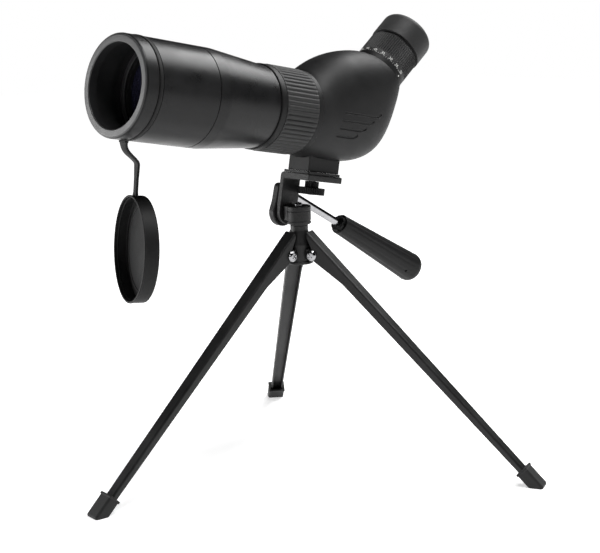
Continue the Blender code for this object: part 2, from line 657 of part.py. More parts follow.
def build_foot_cap(name, frame, length):
    rubber = material("black_rubber", (0.02, 0.02, 0.02), 0.8)
    half = 7.2
    low, high = WEB_OFFSET - 7.0, WEB_OFFSET + 3.0
    cap = block("foot_cap_" + name, (length - 9, length + 12), (-half, half), (low, high), rubber, 1.5)
    place(cap, frame)
    floor = block("floor_" + name, (-60, 60), (-60, 60), (-80, 0), None, collection=CUTTERS)
    angle = math.radians(LEG_AZIMUTHS[name])
    spot = (STAND_X + FOOT_RADIUS * math.cos(angle), STAND_Y + FOOT_RADIUS * math.sin(angle), 0)
    place(as_cutter(floor), None, spot)
    boolean(cap, floor)
    wide = LEG_END_WIDTH / 2 + 0.6
    pocket = (WEB_OFFSET - LEG_END_DEPTH - 0.6, WEB_OFFSET + GAP)
    mill(cap, (length - 30, length + GAP), (-wide, wide), pocket, frame)


def build_pivot(name, frame, side):
    bright = material("bright_steel", (0.62, 0.62, 0.64), 0.2, 1.0)
    face = LEG_TOP_WIDTH / 2 + GAP
    turn = (90, 0, 0) if side < 0 else (-90, 0, 0)
    screw = [(0, face + 2.4), (2.6, face + 2.3), (4.0, face + 1.5), (4.4, face), (SCREW_R, face),
             (SCREW_R, -face - 3.6), (0, -face - 3.6)]
    place(turned("pivot_screw_" + name, screw, bright, SMALL, closed=False), frame, (0, 0, 0), turn)
    nut = ring(3.9, SCREW_R + GAP, -face - 3.0, -face)
    place(turned("pivot_nut_" + name, nut, bright, 6), frame, (0, 0, 0), turn)


# ---------------------------------------------------------------- lens cap and strap

def strap_band(points, half):
    """Outline of a band of even thickness along a path in a plane."""
    left, right = [], []
    for i, point in enumerate(points):
        before, after = points[max(i - 1, 0)], points[min(i + 1, len(points) - 1)]
        run = Vector((after[0] - before[0], after[1] - before[1])).normalized()
        left.append((point[0] - run.y * half, point[1] + run.x * half))
        right.append((point[0] + run.y * half, point[1] - run.x * half))
    return left + right[::-1]


def build_strap_ring(axis):
    """The ring in the bezel's groove and the upper half of the strap moulded on it."""
    rubber = material("cap_rubber", (0.022, 0.022, 0.022), 0.7)
    profile = ring(STRAP_RING_R, TUBE_R - WALL, GROOVE_BACK + GAP, GROOVE_FRONT - GAP)
    band = place(turned("strap_ring", profile, rubber), axis)
    middle = (GROOVE_BACK + GROOVE_FRONT) / 2
    start = (middle, -STRAP_RING_R + 1.0)
    path = [bezier((start, (middle - 0.5, -47), (KINK[0] + 6, -47.5), (KINK[0] + 0.6, KINK[1] + 1.3)), i / 8)
            for i in range(9)]
    tail = outline("strap_tail", strap_band(path, STRAP_THICK / 2), -STRAP_WIDTH / 2, STRAP_WIDTH / 2,
                   None, CUTTERS)
    place(as_cutter(tail), axis, (0, 0, 0), (0, -90, 0))
    boolean(band, tail, "UNION")


def build_cap(axis):
    """The lens cap and the lower half of its strap, hung from the strap's kink."""
    rubber = material("cap_rubber", (0.022, 0.022, 0.022), 0.7)
    build_strap_ring(axis)
    tilt = math.radians(TILT_DEG)
    datum_y = SCOPE_AXIS_Y * math.cos(tilt) + SCOPE_AXIS_H * math.sin(tilt)
    datum_z = TILT_AXIS_Z + SCOPE_AXIS_H * math.cos(tilt) - SCOPE_AXIS_Y * math.sin(tilt)
    kink_y = datum_y - KINK[0] * math.cos(tilt) + KINK[1] * math.sin(tilt)
    kink_z = datum_z + KINK[0] * math.sin(tilt) + KINK[1] * math.cos(tilt)
    hinge = empty("cap_hinge", (STAND_X, STAND_Y + kink_y, kink_z), (0, 0, CAP_TURN))
    half = STRAP_THICK / 2
    strap = [(-half, -0.4), (half, -0.4), (half, -STRAP_DROP), (-half, -STRAP_DROP)]
    lower = outline("cap_strap", strap, -STRAP_WIDTH / 2, STRAP_WIDTH / 2, rubber)
    place(lower, hinge, (0, 0, 0), (90, 0, 90))
    wall = CAP_R - CAP_WALL
    cap = [(0, 0), (CAP_R - 1.5, 0), (CAP_R, -1.5), (CAP_R, -CAP_DEPTH), (wall, -CAP_DEPTH),
           (wall, -1.8), (0, -1.8)]
    rim = empty("cap_rim", (0, 0, -STRAP_DROP - GAP), (-CAP_LEAN, 0, 0), hinge)
    body = turned("lens_cap", cap, rubber, closed=False)
    place(body, rim, (0, CAP_HOLD, -CAP_R - 0.4), (-90, 0, 0))


def build_all():
    stand = empty("stand_axis", (STAND_X, STAND_Y, 0), (0, 0, 0))
    body = empty("tilt_axis", (0, 0, TILT_AXIS_Z), (-TILT_DEG, 0, 0), stand)
    axis = empty("optical_axis", (0, SCOPE_AXIS_Y, SCOPE_AXIS_H), (90, 0, 0), body)
    eye = empty("eyepiece_axis", (0, SCOPE_AXIS_Y + EYE_BACK, SCOPE_AXIS_H), (EYE_ANGLE - 90, 0, 0), body)
    build_hood(axis)
    build_objective(axis)
    build_main_tube(axis)
    build_focus(axis)
    datum = build_housing(body)
    build_prism(body, datum)
    build_eyepiece(eye)
    build_zoom_optics(eye)
    build_foot(body, datum)
    build_bracket(body)
    build_camera_screw(body)
    build_handle(body)
    build_pan(stand)
    build_hub(stand)
    slope = leg_line()
    for name, azimuth in LEG_AZIMUTHS.items():
        build_leg(name, azimuth, slope)
    build_cap(axis)


clear_scene()
PARTS = make_collection("spotting_scope")
CUTTERS = make_collection("cutters")
build_all()
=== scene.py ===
"""Looks of an angled zoom spotting scope on a folding table tripod.

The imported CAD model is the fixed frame. Lengths below are in millimetres in local frames
that repeat the CAD's own: Z is the axis of whatever is turned. MM turns them into metres.
"""
import json
import math

import bmesh
import bpy
from mathutils import Matrix, Vector
from mathutils.bvhtree import BVHTree


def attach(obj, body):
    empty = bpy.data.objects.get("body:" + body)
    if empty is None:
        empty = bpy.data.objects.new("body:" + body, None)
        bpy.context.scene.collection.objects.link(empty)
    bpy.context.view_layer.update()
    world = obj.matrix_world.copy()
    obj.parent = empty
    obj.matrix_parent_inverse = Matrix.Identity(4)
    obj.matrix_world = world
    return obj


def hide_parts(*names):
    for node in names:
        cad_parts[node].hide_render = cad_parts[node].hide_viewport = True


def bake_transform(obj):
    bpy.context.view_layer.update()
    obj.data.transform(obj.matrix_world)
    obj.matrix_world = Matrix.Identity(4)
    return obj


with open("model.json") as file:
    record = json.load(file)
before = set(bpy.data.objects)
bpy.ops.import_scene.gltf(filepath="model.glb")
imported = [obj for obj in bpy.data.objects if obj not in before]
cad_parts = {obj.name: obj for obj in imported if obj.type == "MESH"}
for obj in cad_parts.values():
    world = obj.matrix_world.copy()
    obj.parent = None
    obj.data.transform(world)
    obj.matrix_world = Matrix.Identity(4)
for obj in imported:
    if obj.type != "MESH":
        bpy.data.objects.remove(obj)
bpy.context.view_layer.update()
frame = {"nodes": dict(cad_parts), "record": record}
BODY_OF = {node: body for body, nodes in frame["record"]["behaviour"]["bodies"].items() for node in nodes}
SLOT_OF = {part["node"]: part["material_slot"] for part in frame["record"]["subparts"]}

MM = 0.001
GAP = 0.3

# Stand and scope, as in the CAD
STAND = (-8.5, 20.9)
TILT_AXIS_Z, TILT_DEG = 208.5, 10.4
SCOPE_AXIS_H, SCOPE_AXIS_Y = 80.0, -14.7
TUBE_R, WALL = 38.0, 2.0
HOOD_FRONT, HOOD_OPENING_R = 179.3, 31.4
GROOVE_FRONT, GROOVE_BACK, SEAM = 168.0, 164.0, 111.3
CELL_R, LENS_R = 34.8, 31.8
STOP_THICK, SHADE_TRAVEL = 3.2, 28.0
TAPER_FRONT, TAPER_BACK, NECK_R = 101.0, 48.0, 32.7
SPIGOT_R, RING_R = 30.3, 33.7
RING_FRONT, RING_BACK = 46.7, 2.0
GRIP_FRONT, GRIP_BACK, RIBS = 41.0, 7.0, 56
HOUSING_FRONT, HOUSING_WALL = 1.7, 3.0
EYE_BACK, EYE_ANGLE = 48.0, 49.0
SEAT, SEAT_R = 54.0, 25.2
SCALE_TOP, ZOOM_TOP, EYECUP_TOP, ZOOM_RIBS = 59.6, 84.0, 108.0, 72
EYE_R, BARREL_R = 22.2, 19.2

# Head
PLATFORM_LOW, PLATFORM_HIGH = 27.3, 32.5
PLATFORM_LEFT = 16.5
PLATFORM_Y = (-9.2, 28.4)
PAD_HIGH = 34.4
FOOT_LOW, FOOT_Y, FOOT_HALF_WIDTH = 34.7, (-6.2, 28.8), 12.0
SCREW_Y = 10.8
PLATE_INNER, PLATE_OUTER = -12.6, -16.9
ARM_INNER, ARM_OUTER = -17.2, -23.6
LOBE_R = 12.0
HANDLE_ANGLE, HANDLE_X, HANDLE_START = 19.6, -20.4, (12.4, 13.0)
ROD_R, ROD_LENGTH = 3.2, 155.0
HANDLE_GRIP_START, HANDLE_GRIP_END = 56.0, 165.0
PAN_R, PAN_LOW, PAN_HIGH = 9.7, 200.4, 215.2
HUB_R, HUB_LOW, HUB_SHOULDER, NECK_HUB_R, HUB_TOP = 9.8, 168.0, 190.0, 7.2, 199.4
NECK_CLEARANCE, WASHER_R = 1.1, 7.0

# Legs
LEG_AZIMUTHS = {"front": -95.1, "left": 24.9, "right": 144.9}
HEAD_SIDE = {"front": 1, "left": -1, "right": 1}
PIVOT_RADIUS, PIVOT_Z, WEB_OFFSET, FOOT_RADIUS = 13.0, 176.0, 10.4, 201.0
LEG_TOP_WIDTH, LEG_END_WIDTH = 14.0, 10.0
LEG_TOP_DEPTH, LEG_END_DEPTH = 7.4, 4.8
SHEET, EAR_R, SCREW_R, BORE_R = 1.2, 4.8, 2.0, 2.3
WELD = 0.003  # vertices closer than this are one
KNOB_KNURLS, HANDLE_FLUTES = 40, 10

# Cap and strap
CAP_R, CAP_DEPTH, CAP_WALL = 39.5, 11.5, 1.2
CAP_TURN, CAP_LEAN, CAP_HOLD = -20.0, 5.0, 5.75
KINK = (152.0, -53.0)
STRAP_RING_R, STRAP_DROP, STRAP_WIDTH, STRAP_THICK, STRAP_LEAN = 38.4, 23.4, 7.0, 2.0, 2.4

# Camera: direction from the stand axis, distance, roll and lens
VIEW_AZIMUTH, VIEW_ELEVATION, VIEW_ROLL = 47.17, 10.99, -1.215
VIEW_DISTANCE, VIEW_HEIGHT = 1169.8, 165.1
LENS_LENGTH, SENSOR, SHIFT_Y = 86.25, 36.0, -0.0170

# Light of the room at the horizon and overhead, its share behind the camera, glow of the floor
ROOM, ROOM_DARK, FLOOR_GLOW = (0.14, 0.36), 0.15, 0.56

FINE = 128
MEDIUM = 64


# ---------------------------------------------------------------- frames

def shift(x, y, z):
    return Matrix.Translation(Vector((x, y, z)) * MM)


def turn(degrees, axis):
    return Matrix.Rotation(math.radians(degrees), 4, axis)


STAND_AT = shift(*STAND, 0)
TILT_AT = STAND_AT @ shift(0, 0, TILT_AXIS_Z) @ turn(-TILT_DEG, "X")
DATUM_AT = TILT_AT @ shift(0, SCOPE_AXIS_Y, SCOPE_AXIS_H)
OPTICAL_AT = DATUM_AT @ turn(90, "X")
EYE_AT = DATUM_AT @ shift(0, EYE_BACK, 0) @ turn(EYE_ANGLE - 90, "X")
HANDLE_AT = TILT_AT @ shift(HANDLE_X, *HANDLE_START) @ turn(-90 - HANDLE_ANGLE, "X")
SIDE = turn(90, "Z") @ turn(90, "X")         # local X, Y, Z to the frame's Y, Z, X


# ---------------------------------------------------------------- materials

class Nodes:
    """A short way to add and join a material's nodes."""

    def __init__(self, name):
        self.material = bpy.data.materials.new(name)
        self.material.use_nodes = True
        self.tree = self.material.node_tree
        self.shader = self.tree.nodes["Principled BSDF"]
        self.place = self.add("TexCoord").outputs["Object"]

    def add(self, kind, **values):
        node = self.tree.nodes.new("ShaderNode" + kind)
        for key, value in values.items():
            slot = node.inputs.get(key.replace("_", " ").title()) if key[0].islower() else None
            if slot is not None:
                slot.default_value = value
            else:
                setattr(node, key.lower(), value)
        return node

    def link(self, output, target):
        self.tree.links.new(output, target)

    def noise(self, scale, detail=3.0, stretch=(1, 1, 1)):
        """Noise of a grain size in millimetres, drawn out along an axis by stretch."""
        mapping = self.add("Mapping")
        mapping.inputs["Scale"].default_value = stretch
        self.link(self.place, mapping.inputs["Vector"])
        node = self.add("TexNoise", scale=1 / (scale * MM), detail=detail)
        self.link(mapping.outputs["Vector"], node.inputs["Vector"])
        return node.outputs["Fac"]

    def span(self, value, low, high, start=0.3, end=0.7):
        node = self.add("MapRange")
        node.clamp = True
        for key, number in (("From Min", start), ("From Max", end), ("To Min", low), ("To Max", high)):
            node.inputs[key].default_value = number
        self.link(value, node.inputs["Value"])
        return node.outputs["Result"]

    def mix(self, factor, first, second):
        node = self.add("Mix")
        node.data_type = "RGBA"
        self.link(factor, node.inputs["Factor"])
        for socket, colour in ((node.inputs[6], first), (node.inputs[7], second)):
            if isinstance(colour, tuple):
                socket.default_value = (*colour, 1.0)
            else:
                self.link(colour, socket)
        return node.outputs[2]

    def math(self, operation, first, second):
        node = self.add("Math")
        node.operation = operation
        for socket, value in zip(node.inputs, (first, second)):
            if isinstance(value, float):
                socket.default_value = value
            else:
                self.link(value, socket)
        return node.outputs["Value"]

    def bump(self, height, strength, depth):
        node = self.add("Bump")
        node.inputs["Strength"].default_value = strength
        node.inputs["Distance"].default_value = depth * MM
        self.link(height, node.inputs["Height"])
        self.link(node.outputs["Normal"], self.shader.inputs["Normal"])

    def edges(self, radius):
        """1 along sharp edges and 0 on flat or gently curved faces."""
        node = self.add("Bevel")
        node.samples = 4
        node.inputs["Radius"].default_value = radius * MM
        flat = self.add("NewGeometry").outputs["Normal"]
        dot = self.add("VectorMath")
        dot.operation = "DOT_PRODUCT"
        self.link(node.outputs["Normal"], dot.inputs[0])
        self.link(flat, dot.inputs[1])
        return self.span(dot.outputs["Value"], 1.0, 0.0, 0.86, 0.99)

    def base(self, colour):
        self.link(colour, self.shader.inputs["Base Color"])

    def rough(self, value):
        self.link(value, self.shader.inputs["Roughness"])

    def set(self, **values):
        for key, value in values.items():
            self.shader.inputs[key.replace("_", " ")].default_value = value


def tinted(colour, share):
    return tuple(min(1.0, c * share) for c in colour)


def moulded(name, colour, roughness, grain=0.35, strength=0.25, depth=0.03, worn=0.0, level=0.3,
            stretch=(1, 1, 1), sheen=0.0):
    """Painted, moulded or rubber surface: fine grain, uneven gloss, faint cloudiness, rubbed edges."""
    n = Nodes(name)
    fine = n.noise(grain, 4.0, stretch)
    cloud = n.noise(22.0, 4.0)
    speck = n.noise(1.7, 6.0)
    shade = n.mix(n.span(cloud, 0.0, 1.0), tinted(colour, 0.78), tinted(colour, 1.22))
    dusty = n.mix(n.span(speck, 0.0, 0.35, 0.6, 0.8), shade, tinted(colour, 2.2))
    if worn:
        rubbed = n.math("MULTIPLY", n.edges(0.5), n.span(n.noise(2.6, 5.0), 0.0, worn, 0.42, 0.62))
        dusty = n.mix(rubbed, dusty, tuple(c * 3.0 + 0.02 for c in colour))
    n.base(dusty)
    n.rough(n.math("ADD", n.span(fine, -0.05, 0.05), n.span(cloud, roughness - 0.06, roughness + 0.06)))
    n.bump(fine, strength, depth)
    n.set(Specular_IOR_Level=level)
    if sheen:
        n.set(Sheen_Weight=sheen, Sheen_Roughness=0.6)
    return n.material


def wrinkled(name, colour, roughness):
    """Baked wrinkle paint on a casting: a net of fine ridges."""
    n = Nodes(name)
    warp = n.noise(1.4, 3.0)
    bend = n.add("VectorMath", Operation="MULTIPLY_ADD")
    n.link(warp, bend.inputs[0])
    bend.inputs[1].default_value = (0.0011, 0.0011, 0.0011)
    n.link(n.place, bend.inputs[2])
    cells = n.add("TexVoronoi", scale=1150.0, Feature="SMOOTH_F1")
    n.link(bend.outputs["Vector"], cells.inputs["Vector"])
    ridge = cells.outputs["Distance"]
    # Painted shade and highlight: the colour follows the wrinkle relief, darker in the valleys and lighter
    # on the ridges.
    n.base(n.mix(n.span(ridge, 0.0, 1.0, 0.1, 0.8), tinted(colour, 0.6), tinted(colour, 1.7)))
    n.rough(n.span(ridge, roughness + 0.12, roughness - 0.06, 0.1, 0.7))
    n.bump(ridge, 0.5, 0.09)
    n.set(Specular_IOR_Level=0.35)
    return n.material


def plated(name, colour, roughness, along=(1, 1, 0.05)):
    """Bright metal with faint polishing lines along local Z and cloudy gloss."""
    n = Nodes(name)
    lines = n.noise(0.16, 3.0, along)
    cloud = n.noise(5.0, 4.0)
    n.base(n.mix(n.span(cloud, 0.0, 1.0), tinted(colour, 0.86), colour))
    n.rough(n.math("ADD", n.span(lines, -0.03, 0.05), n.span(cloud, roughness * 0.7, roughness * 1.3)))
    n.bump(lines, 0.12, 0.01)
    n.set(Metallic=1.0)
    return n.material


def glass(name, colour, tint, clear):
    """Coated glass: dark tint, coloured reflection, a trace of dust."""
    n = Nodes(name)
    dust = n.noise(0.5, 6.0)
    haze = n.noise(14.0, 3.0)
    n.base(n.mix(n.span(haze, 0.0, 1.0), tinted(colour, 0.8), tinted(colour, 1.2)))
    n.rough(n.math("ADD", n.span(dust, 0.0, 0.06, 0.6, 0.8), n.span(haze, 0.02, 0.05)))
    n.set(Transmission_Weight=clear, IOR=1.52, Specular_IOR_Level=0.9, Specular_Tint=(*tint, 1.0),
          Coat_Weight=0.35, Coat_Roughness=0.03)
    return n.material


def make_looks():
    black = (0.0075, 0.0075, 0.0079)
    return {
        "tube": moulded("satin_tube", black, 0.33, 0.28, 0.22, 0.015, worn=0.3, level=0.19),
        # The bezel look's grey base colour, six times the tube's black, is painted glare: it stands in for
        # the front light reflected off the black ring's front face.
        "bezel": moulded("bezel_face_painted_glare", (0.045, 0.045, 0.046), 0.42, 0.3, 0.15, 0.015, worn=0.5, level=0.45,
                         stretch=(1, 1, 0.2)),
        "inside": moulded("flocked_inside", (0.016, 0.016, 0.0165), 0.8, 0.3, 0.6, 0.06, level=0.12),
        "housing": moulded("soft_touch_housing", (0.0075, 0.0075, 0.0078), 0.52, 0.32, 0.35, 0.03, worn=0.2,
                           level=0.22),
        "rubber": moulded("ribbed_rubber", (0.010, 0.010, 0.0102), 0.58, 0.22, 0.5, 0.05, worn=0.25,
                          level=0.3, sheen=0.05),
        "cap": moulded("cap_rubber", (0.008, 0.008, 0.0082), 0.56, 0.4, 0.35, 0.04, worn=0.2, level=0.18),
        "enamel": moulded("leg_enamel", (0.008, 0.008, 0.0082), 0.42, 0.6, 0.45, 0.05, worn=0.55,
                          level=0.36),
        "casting": wrinkled("wrinkle_casting", (0.007, 0.007, 0.0072), 0.5),
        "plastic": moulded("grained_plastic", (0.006, 0.006, 0.0062), 0.50, 0.5, 0.55, 0.07, worn=0.3,
                           level=0.18, stretch=(1, 1, 0.45)),
        "chrome": plated("chrome", (0.36, 0.36, 0.37), 0.14),
        "steel": plated("bright_steel", (0.32, 0.32, 0.33), 0.2),
        "zinc": plated("cast_zinc", (0.42, 0.42, 0.43), 0.45, (1, 1, 1)),
        "brass": plated("brass", (0.72, 0.55, 0.26), 0.22),
        "nylon": moulded("nylon", (0.02, 0.02, 0.02), 0.5, 0.4, 0.2, 0.02, level=0.5),
        "lens": glass("coated_lens", (0.040, 0.040, 0.080), (0.62, 0.55, 1.0), 0.2),
        "prism": glass("prism_glass", (0.8, 0.86, 0.9), (1.0, 1.0, 1.0), 0.95),
        "print": moulded("white_print", (0.62, 0.62, 0.60), 0.55, 0.3, 0.3, 0.01, level=0.4),
    }


LOOKS = make_looks()
SLOT_LOOK = {"tube_black": "tube", "bezel_grey": "bezel", "housing_black": "plastic", "coated_glass": "lens",
             "prism_glass": "prism", "rubber": "rubber", "zinc": "zinc", "brass": "brass", "nylon": "nylon",
             "enamel": "enamel", "chrome": "chrome"}


# ---------------------------------------------------------------- outlines

def rounded(points, closed=True, steps=4):
    """Points (x, y, radius) with each corner that has a radius turned into an arc."""
    result = []
    count = len(points)
    for i, point in enumerate(points):
        here = Vector(point[:2])
        radius = point[2] if len(point) > 2 else 0.0
        if not radius or (not closed and i in (0, count - 1)):
            result.append(tuple(here))
            continue
        before = (Vector(points[i - 1][:2]) - here).normalized()
        after = (Vector(points[(i + 1) % count][:2]) - here).normalized()
        half = before.angle(after) / 2
        reach = radius / math.tan(half)
        centre = here + (before + after).normalized() * radius / math.sin(half)
        start = here + before * reach - centre
        end = here + after * reach - centre
        sweep = math.copysign(math.pi - 2 * half, start.x * end.y - start.y * end.x)
        for k in range(steps + 1):
            a = sweep * k / steps
            c, s = math.cos(a), math.sin(a)
            result.append((centre.x + start.x * c - start.y * s, centre.y + start.x * s + start.y * c))
    return result


def arc(cx, cy, radius, start, end, count=12):
    angles = [math.radians(start + (end - start) * i / count) for i in range(count + 1)]
    return [(cx + radius * math.cos(a), cy + radius * math.sin(a)) for a in angles]


def bezier(points, t):
    a, b, c, d = points
    u = 1 - t
    weights = (u ** 3, 3 * u * u * t, 3 * u * t * t, t ** 3)
    return tuple(sum(w * p[i] for w, p in zip(weights, (a, b, c, d))) for i in range(2))


def inset(points, depth):
    """The outline moved inwards; points run anticlockwise."""
    result = []
    count = len(points)
    for i, point in enumerate(points):
        here = Vector(point)
        run_in = (here - Vector(points[i - 1])).normalized()
        run_out = (Vector(points[(i + 1) % count]) - here).normalized()
        side = Vector((-run_in.y - run_out.y, run_in.x + run_out.x)).normalized()
        share = max(0.3, side.dot(Vector((-run_in.y, run_in.x))))
        result.append(tuple(here + side * depth / share))
    return result


# ---------------------------------------------------------------- meshes

def mesh_of(bm, name="work"):
    mesh = bpy.data.meshes.new(name)
    bm.to_mesh(mesh)
    bm.free()
    return mesh


def added(name, data):
    """A new object in the scene."""
    obj = bpy.data.objects.new(name, data)
    bpy.context.scene.collection.objects.link(obj)
    return obj


def baked(obj):
    """An object's mesh with its modifiers applied."""
    graph = bpy.context.evaluated_depsgraph_get()
    mesh = bpy.data.meshes.new_from_object(obj.evaluated_get(graph))
    result = bmesh.new()
    result.from_mesh(mesh)
    bpy.data.meshes.remove(mesh)
    return result


def skin(loops, cyclic=False, capped=True):
    """Faces through closed loops of equal length; a loop of one point is a pole."""
    bm = bmesh.new()
    rows = [[bm.verts.new(p) for p in loop] for loop in loops]
    pairs = list(zip(rows, rows[1:])) + ([(rows[-1], rows[0])] if cyclic else [])
    count = max(len(row) for row in rows)
    for a, b in pairs:
        for k in range(count):
            n = (k + 1) % count
            corners = ([a[k], a[n]] if len(a) > 1 else [a[0]]) + ([b[n], b[k]] if len(b) > 1 else [b[0]])
            if len(corners) > 2:
                bm.faces.new(corners)
    if capped and not cyclic:
        for row in (rows[0], rows[-1]):
            if len(row) > 2:
                bm.faces.new(row)
    bmesh.ops.recalc_face_normals(bm, faces=bm.faces)
    return bm


def lathe(profile, steps=FINE, cyclic=True, shape=None):
    """A profile of (radius, height) turned about Z; shape(angle, radius, height) gives a new radius."""
    loops = []
    for radius, height in profile:
        if radius < 1e-6:
            loops.append([(0, 0, height)])
            continue
        loop = []
        for k in range(steps):
            angle = 2 * math.pi * k / steps
            r = shape(angle, radius, height) if shape else radius
            loop.append((r * math.cos(angle), r * math.sin(angle), height))
        loops.append(loop)
    return skin(loops, cyclic)


def slab(outline, low, high, edge=0.4, steps=3):
    """An anticlockwise outline extruded along Z, its rims rounded."""
    loops = []
    for k in range(steps + 1):
        a = math.pi / 2 * k / steps
        loops.append((inset(outline, edge * (1 - math.sin(a))), low + edge * (1 - math.cos(a))))
    for k in range(steps + 1):
        a = math.pi / 2 * k / steps
        loops.append((inset(outline, edge * (1 - math.cos(a))), high - edge * (1 - math.sin(a))))
    return skin([[(x, y, z) for x, y in loop] for loop, z in loops])


def brick(x, y, z, edge=0.0, segments=3):
    bm = bmesh.new()
    bmesh.ops.create_cube(bm, size=1.0)
    for vert in bm.verts:
        vert.co = Vector([limits[0] + (vert.co[i] + 0.5) * (limits[1] - limits[0])
                          for i, limits in enumerate((x, y, z))])
    if edge:
        bmesh.ops.bevel(bm, geom=list(bm.edges), offset=edge, segments=segments, profile=0.5,
                        affect="EDGES", clamp_overlap=True)
    return bm


def moved(bm, matrix):
    """The mesh in another local frame; the matrix is in metres, the mesh in millimetres."""
    place = matrix.copy()
    place.translation = place.translation / MM
    bm.transform(place)
    return bm


def peg(radius, low, high, matrix=Matrix(), steps=24):
    return moved(lathe([(0, high), (radius, high), (radius, low), (0, low)], steps, False), matrix)


def joined(*parts):
    """Separate solids in one mesh."""
    whole = bmesh.new()
    for bm in parts:
        mesh = mesh_of(bm)
        whole.from_mesh(mesh)
        bpy.data.meshes.remove(mesh)
    return whole


def welded(bm):
    """bm with its stray double vertices made one."""
    bmesh.ops.remove_doubles(bm, verts=bm.verts, dist=WELD)
    bmesh.ops.dissolve_degenerate(bm, edges=bm.edges, dist=WELD)
    return bm


def fuse(solid):
    return "UNION", solid


def cut(solid):
    return "DIFFERENCE", solid


def carved(bm, *steps):
    """bm after booleans; each step is fuse(solid) or cut(solid)."""
    work = added("work", mesh_of(bm))
    tools = []
    for operation, solid in steps:
        tools.append(added("work", mesh_of(solid)))
        mod = work.modifiers.new("Cut", "BOOLEAN")
        mod.operation = operation
        mod.object = tools[-1]
        mod.solver = "EXACT"
    result = baked(work)
    welded(result)
    for obj in [work] + tools:
        data = obj.data
        bpy.data.objects.remove(obj)
        bpy.data.meshes.remove(data)
    return result


def smooth_object(name, bm, look, sharp):
    """A smoothly shaded object of one look, from a mesh in millimetres."""
    bmesh.ops.scale(bm, verts=bm.verts, vec=(MM, MM, MM))
    mesh = mesh_of(bm, name)
    mesh.shade_smooth()
    mesh.set_sharp_from_angle(angle=math.radians(sharp))
    mesh.materials.append(LOOKS[look])
    return added(name, mesh)


def piece(name, bm, at, look, body, sharp=38.0):
    """An object of the visual model, riding on a body."""
    obj = smooth_object(name, bm, look, sharp)
    shading = obj.modifiers.new("Flat faces stay flat", "WEIGHTED_NORMAL")
    shading.keep_sharp = True
    obj.matrix_world = at
    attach(obj, body)
    return obj


def stand_in(node, bm, at, look, sharp=38.0):
    """The finer piece shown for a CAD node, on the node's own body."""
    obj = piece(node + "_fine", bm, at, look, BODY_OF[node], sharp)
    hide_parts(node)
    return obj


def add_look(obj, look, chosen):
    """A second material on the faces that chosen(centre in millimetres, normal) picks."""
    obj.data.materials.append(LOOKS[look])
    index = len(obj.data.materials) - 1
    for face in obj.data.polygons:
        if chosen(face.center / MM, face.normal):
            face.material_index = index


# ---------------------------------------------------------------- tube and lenses

def ribs(count, depth, inner, low, high, fade, narrow=2.0):
    """Grooves parallel to the axis that run out before the ends of the band."""
    def shape(angle, radius, height):
        if radius < inner:
            return radius
        ends = min((height - low) / fade, (high - height) / fade, 1.0)
        groove = (0.5 + 0.5 * math.cos(count * angle)) ** narrow
        return radius - depth * groove * max(0.0, ends)
    return shape


def make_hood():
    bezel = rounded([(TUBE_R, HOOD_FRONT, 2.2), (TUBE_R, GROOVE_FRONT, 0.5), (35.7, GROOVE_FRONT),
                     (35.7, 156), (33.7, 156), (33.7, 170.5), (HOOD_OPENING_R, 172.0, 0.4),
                     (HOOD_OPENING_R, HOOD_FRONT - 0.5, 0.4), (HOOD_OPENING_R + 0.7, HOOD_FRONT, 0.2)])
    obj = stand_in("bezel_ring", lathe(bezel), OPTICAL_AT, "tube")
    # Painted glare: the ring's front face takes the lighter grey look while its side stays the tube's black.
    add_look(obj, "bezel", lambda c, n: c.z > HOOD_FRONT - 0.9)
    add_look(obj, "inside", lambda c, n: math.hypot(c.x, c.y) < 33.8 and c.z < HOOD_FRONT - 0.75)
    inner = TUBE_R - WALL
    lip = CELL_R + GAP
    threads = []
    for k in range(9):
        z = 150.5 - k * 1.4
        threads += [(inner, z), (inner - 0.35, z - 0.7)]
    shade = rounded([(inner, GROOVE_BACK), (TUBE_R, GROOVE_BACK, 0.45), (TUBE_R, SEAM + 0.2, 0.4),
                     (lip, SEAM + 0.2), (lip, SEAM + STOP_THICK), (inner, SEAM + STOP_THICK)], False)
    shade += [(inner, 137)] + threads[::-1]
    obj = stand_in("sunshade", lathe(shade), OPTICAL_AT, "tube")
    add_look(obj, "inside", lambda c, n: math.hypot(c.x, c.y) < inner + 0.1)


def bowl(radius, edge, crown, count=14):
    return [(radius * i / count, crown + (edge - crown) * (i / count) ** 2) for i in range(count + 1)]


def lens_mesh(radius, front, back):
    """A lens with (edge, middle) heights for its front and its back."""
    return lathe(bowl(radius, *front) + bowl(radius, *back)[::-1], MEDIUM * 2, False)


def make_objective():
    flange = TUBE_R - WALL - GAP
    shoulder, bore = LENS_R - 1.6, LENS_R + GAP
    stop = SEAM + STOP_THICK + SHADE_TRAVEL + GAP
    steps = []
    for k in range(6):
        z = 120 - k * 3.6
        steps += [(32.6, z), (32.0, z - 0.6), (32.6, z - 1.2)]
    cell = [(flange, 147), (flange, stop), (CELL_R, stop), (CELL_R, 96), (32.6, 96)]
    cell += steps[::-1] + [(32.6, 131), (shoulder, 131), (shoulder, 133), (bore, 133)]
    cell += rounded([(bore, 133), (bore, 147, 0.6), (flange, 147)], False)[1:-1]
    obj = stand_in("objective_cell", lathe(cell), OPTICAL_AT, "inside")
    # Painted glare: the cell's front rim takes the bezel's lighter grey instead of the cell's black,
    # standing in for the lit rim inside the hood.
    add_look(obj, "bezel", lambda c, n: c.z > 146.3)
    stand_in("crown_lens", lens_mesh(LENS_R, (141.2, 143.4), (138.1, 135.9)), OPTICAL_AT, "lens")
    stand_in("flint_lens", lens_mesh(LENS_R, (137.8, 135.6), (133.3, 133.9)), OPTICAL_AT, "lens")
    retainer = rounded([(LENS_R, 141.5), (LENS_R - 1.8, 141.5, 0.2), (LENS_R - 1.8, 145.0, 0.5),
                        (LENS_R, 145.0, 0.3)])
    notches = [cut(brick((28, 34), (-1.1, 1.1), (144.0, 146), 0.0)),
               cut(brick((-34, -28), (-1.1, 1.1), (144.0, 146), 0.0))]
    stand_in("objective_retainer", carved(lathe(retainer), *notches), OPTICAL_AT, "inside")


